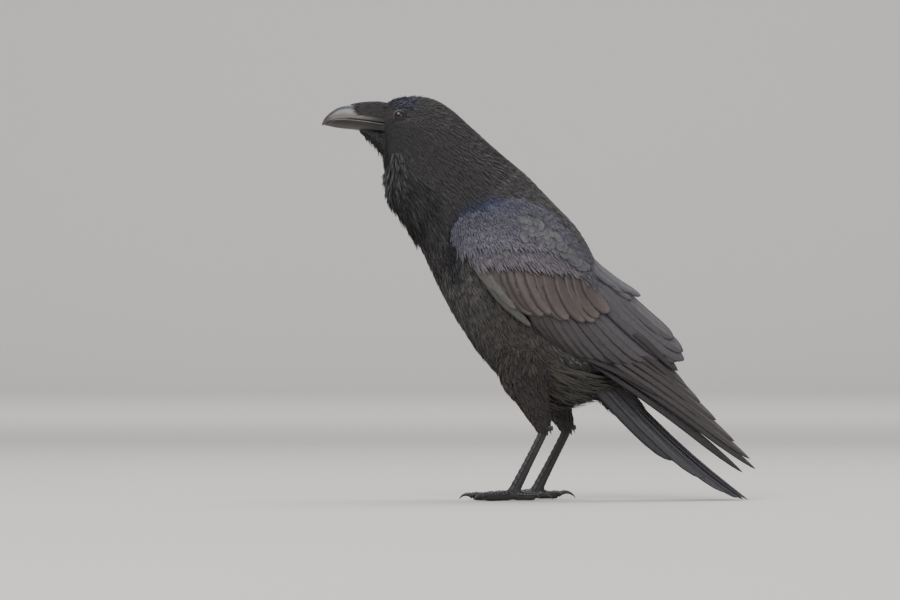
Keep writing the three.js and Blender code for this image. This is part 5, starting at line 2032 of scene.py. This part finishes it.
class ScaleNet:
    """Overlapping scales set along a path by geometry nodes."""

    def __init__(self, plate: bpy.types.Object, finish: bpy.types.Material) -> None:
        """Builds the tree.

        Args:
            plate: one scale, of radius and length 1, facing +Z and lying along +X.
            finish: its material.
        """
        tree = bpy.data.node_groups.new("scales_along_a_path", "GeometryNodeTree")
        self.tree = tree
        face = tree.interface
        face.new_socket("Path", in_out="INPUT", socket_type="NodeSocketGeometry")
        for name, kind, value in (
            ("Spacing", "NodeSocketFloat", 0.003),
            ("Length", "NodeSocketFloat", 0.004),
            ("Girth", "NodeSocketFloat", 1.0),
            ("Face", "NodeSocketVector", (0, 0, 1)),
        ):
            face.new_socket(name, in_out="INPUT", socket_type=kind).default_value = value
        face.new_socket("Scales", in_out="OUTPUT", socket_type="NodeSocketGeometry")
        inputs, output = tree.nodes.new("NodeGroupInput"), tree.nodes.new("NodeGroupOutput")
        points = tree.nodes.new("GeometryNodeCurveToPoints")
        points.mode = "LENGTH"
        along = tree.nodes.new("FunctionNodeAlignRotationToVector")
        along.axis = "X"
        facing = tree.nodes.new("FunctionNodeAlignRotationToVector")
        facing.axis, facing.pivot_axis = "Z", "X"
        info = tree.nodes.new("GeometryNodeObjectInfo")
        info.inputs["Object"].default_value = plate
        radius = tree.nodes.new("GeometryNodeInputRadius")
        girth = tree.nodes.new("ShaderNodeMath")
        girth.operation = "MULTIPLY"
        size = tree.nodes.new("ShaderNodeCombineXYZ")
        place = tree.nodes.new("GeometryNodeInstanceOnPoints")
        real = tree.nodes.new("GeometryNodeRealizeInstances")
        paint = tree.nodes.new("GeometryNodeSetMaterial")
        paint.inputs["Material"].default_value = finish
        link = tree.links.new
        link(inputs.outputs["Path"], points.inputs["Curve"])
        link(inputs.outputs["Spacing"], points.inputs["Length"])
        link(points.outputs["Tangent"], along.inputs["Vector"])
        link(along.outputs["Rotation"], facing.inputs["Rotation"])
        link(inputs.outputs["Face"], facing.inputs["Vector"])
        link(radius.outputs["Radius"], girth.inputs[0])
        link(inputs.outputs["Girth"], girth.inputs[1])
        link(inputs.outputs["Length"], size.inputs["X"])
        link(girth.outputs[0], size.inputs["Y"])
        link(girth.outputs[0], size.inputs["Z"])
        link(points.outputs["Points"], place.inputs["Points"])
        link(info.outputs["Geometry"], place.inputs["Instance"])
        link(facing.outputs["Rotation"], place.inputs["Rotation"])
        link(size.outputs[0], place.inputs["Scale"])
        link(place.outputs["Instances"], real.inputs["Geometry"])
        link(real.outputs["Geometry"], paint.inputs["Geometry"])
        link(paint.outputs["Geometry"], output.inputs["Scales"])

    def along(self, name: str, paths: list[tuple[Array, Array]], sizes: dict[str, object]) -> bpy.types.Mesh:
        """Scales along some paths as a plain mesh.

        Args:
            name: the name of the result.
            paths: each path's points and radii.
            sizes: the tree's named inputs.

        Returns:
            The realized mesh.
        """
        curve = bpy.data.curves.new(name, "CURVE")
        curve.dimensions = "3D"
        for points, radii in paths:
            line = curve.splines.new("POLY")
            line.points.add(len(points) - 1)
            for slot, point, radius in zip(line.points, points, radii):
                slot.co = (*map(float, point), 1.0)
                slot.radius = float(radius)
        holder = bpy.data.objects.new(name, curve)
        bpy.context.scene.collection.objects.link(holder)
        modifier = holder.modifiers.new("scales", "NODES")
        modifier.node_group = self.tree
        for item in self.tree.interface.items_tree:
            if item.in_out == "INPUT" and item.name in sizes:
                modifier[item.identifier] = sizes[item.name]
        evaluated = holder.evaluated_get(bpy.context.evaluated_depsgraph_get())
        mesh = bpy.data.meshes.new_from_object(evaluated)
        bpy.data.objects.remove(holder)
        return mesh


@dataclass
class LegScales:
    """The broad scales down the front of each shank and over each toe."""

    arc: float = 74  # degrees that a scale reaches to each side
    thickness: float = 0.13
    flare: float = 0.1

    def build(self, finish: bpy.types.Material) -> None:
        """Makes the scales of each leg as one piece."""
        plate = self._plate()
        net = ScaleNet(plate, finish)
        for name, leg in LEGS.items():
            meshes = [self._shank(net, name, leg), *self._toes(net, name, leg)]
            holders = [bpy.data.objects.new(f"leg_scales_{name}", m) for m in meshes]
            for holder in holders:
                bpy.context.scene.collection.objects.link(holder)
            with bpy.context.temp_override(
                active_object=holders[0], object=holders[0], selected_objects=holders,
                selected_editable_objects=holders,
            ):
                bpy.ops.object.join()
            piece = holders[0]
            piece.data.polygons.foreach_set("use_smooth", [True] * len(piece.data.polygons))
            nodes = [f"shank_{name}", *(f"toe_{name}_{toe}" for toe in TOES)]
            attach(piece, "legs", *nodes)
        bpy.data.objects.remove(plate)

    def _plate(self) -> bpy.types.Object:
        """One scale of radius and length 1, hooked down at its free end."""
        turn = np.radians(np.linspace(-self.arc, self.arc, 9))
        rows = [(0.0, -0.06), (0.35, 0.02), (0.75, self.flare), (1.0, self.flare * 1.1), (1.12, self.flare * 0.2)]
        top = np.array([
            [(x, (1 + out) * math.sin(t), (1 + out) * math.cos(t)) for t in turn] for x, out in rows
        ])
        under = top * np.array([1, 1 - self.thickness * 1.6, 1 - self.thickness * 1.6])
        rings = np.concatenate([top, under[:, ::-1]], 1)
        lofts = Lofts()
        lofts.add(rings)
        return lofts.build("scale_plate")

    def _shank(self, net: ScaleNet, name: str, leg: Leg) -> bpy.types.Mesh:
        """Scales down the front of a shank."""
        share = np.linspace(0.2, 0.93, 30)
        path = spline(leg.shank_path(), share * 2)
        radii = spline(mm(leg.shank_radii), share * (len(leg.shank_radii) - 1))[:, 0]
        sizes = {"Spacing": 0.0068, "Length": 0.0078, "Girth": 0.94, "Face": (-1.0, 0.0, -0.35)}
        return net.along(f"shank_scales_{name}", [(path, radii)], sizes)

    def _toes(self, net: ScaleNet, name: str, leg: Leg) -> list[bpy.types.Mesh]:
        """Scales over the toes."""
        made = []
        for toe_name, toe in TOES.items():
            path, radii = leg.toe_line(toe, 40)
            keep = slice(6, 40)
            sizes = {"Spacing": 0.0031, "Length": 0.0038, "Girth": 0.97, "Face": (0.0, 0.0, 1.0)}
            made.append(net.along(f"toe_scales_{name}_{toe_name}", [(path[keep], radii[keep])], sizes))
        return made


# ---------------------------------------------------------------- stage, light and camera


@dataclass
class Studio:
    """A pale seamless floor, soft lights and the camera."""

    camera_place: tuple[float, float, float] = (-0.0929, -8.0, 0.210)
    lens: float = 304.8
    sensor: float = 36.0
    floor_half: float = 14.0
    floor_back: float = 11.0
    wall_top: float = 5.0
    curve: float = 1.6

    def build(self) -> None:
        """Makes the camera first, then the floor and the lights."""
        data = bpy.data.cameras.new("camera")
        data.lens, data.sensor_width, data.clip_end = self.lens, self.sensor, 60
        data.dof.use_dof = False
        camera = bpy.data.objects.new("camera", data)
        camera.location = self.camera_place
        camera.rotation_euler = (math.radians(90), 0, 0)
        bpy.context.scene.collection.objects.link(camera)
        bpy.context.scene.camera = camera
        self._floor()
        bird = (0, 0, 0.22)
        self._light("key", (-1.6, -3.2, 3.6), bird, 3.0, 180, (1.0, 0.98, 0.95))
        self._light("fill", (2.4, -4.5, 1.8), bird, 3.5, 65, (0.97, 0.98, 1.0))
        self._light("top", (0.4, 1.2, 3.4), bird, 2.6, 100, (0.97, 0.98, 1.0))
        self._light("backdrop", (0, 6.0, 4.4), (0, 11, 1.2), 6.0, 230, (1.0, 1.0, 1.0))
        world = bpy.data.worlds.new("studio")
        world.use_nodes = True
        shade = world.node_tree.nodes["Background"]
        shade.inputs["Color"].default_value = (0.9, 0.89, 0.89, 1)
        shade.inputs["Strength"].default_value = 0.55
        bpy.context.scene.world = world

    def _floor(self) -> None:
        """A floor that curves up into a backdrop."""
        profile = [(-14.0, 0.0), (-6.0, 0.0), (0.0, 0.0), (self.floor_back - self.curve, 0.0)]
        for i in range(1, 13):
            a = math.radians(90 * i / 12)
            profile.append(
                (self.floor_back - self.curve + self.curve * math.sin(a), self.curve * (1 - math.cos(a)))
            )
        profile.append((self.floor_back, self.wall_top))
        points = [(x, y, z) for y, z in profile for x in (-self.floor_half, self.floor_half)]
        faces = [[2 * i, 2 * i + 1, 2 * i + 3, 2 * i + 2] for i in range(len(profile) - 1)]
        floor = mesh_object("studio_floor", np.array(points), faces)
        floor.data.materials.append(StageFinish().make())

    def _light(
        self,
        name: str,
        place: tuple[float, float, float],
        target: tuple[float, float, float],
        size: float,
        power: float,
        colour: Colour,
    ) -> None:
        """A square area light that looks at a target."""
        data = bpy.data.lights.new(name, "AREA")
        data.size, data.energy, data.color = size, power, colour
        light = bpy.data.objects.new(name, data)
        light.location = place
        aim = Vector(target) - Vector(place)
        light.rotation_euler = aim.to_track_quat("-Z", "Y").to_euler()
        bpy.context.scene.collection.objects.link(light)


def main() -> None:
    """Builds the bird on its stage, piece by piece."""
    logging.basicConfig(level=logging.INFO, format="%(message)s")
    Studio().build()
    vane, skin = FeatherFinish().make(), SkinFinish().make()
    down = FeatherFinish("down", roughness=0.6, gloss=0.3, sheen=0.2).make()
    flesh = Skin().build(skin)
    attach(flesh, "plumage", "head", "neck", "trunk", "thigh_left", "thigh_right")
    Bill().build(HornFinish("bill_horn", (0.13, 0.13, 0.13), (0.2, 0.2, 0.2), 0.32, dyed=True).make())
    Eyes().build(HornFinish("lid", (0.035, 0.033, 0.031), (0.085, 0.08, 0.076), 0.5).make())
    wings = Wings()
    wing, whole = wings.reliefs()
    Plumage().build(down, wing)
    NasalBristles().build(down)
    wings.build(vane, wing, whole)
    Tail().build(vane, down)
    LegScales().build(ScaleFinish().make())
    Claws().build(HornFinish("claw_horn", (0.012, 0.012, 0.013), (0.03, 0.03, 0.032), 0.28).make())


if __name__ == "__main__":
    main()
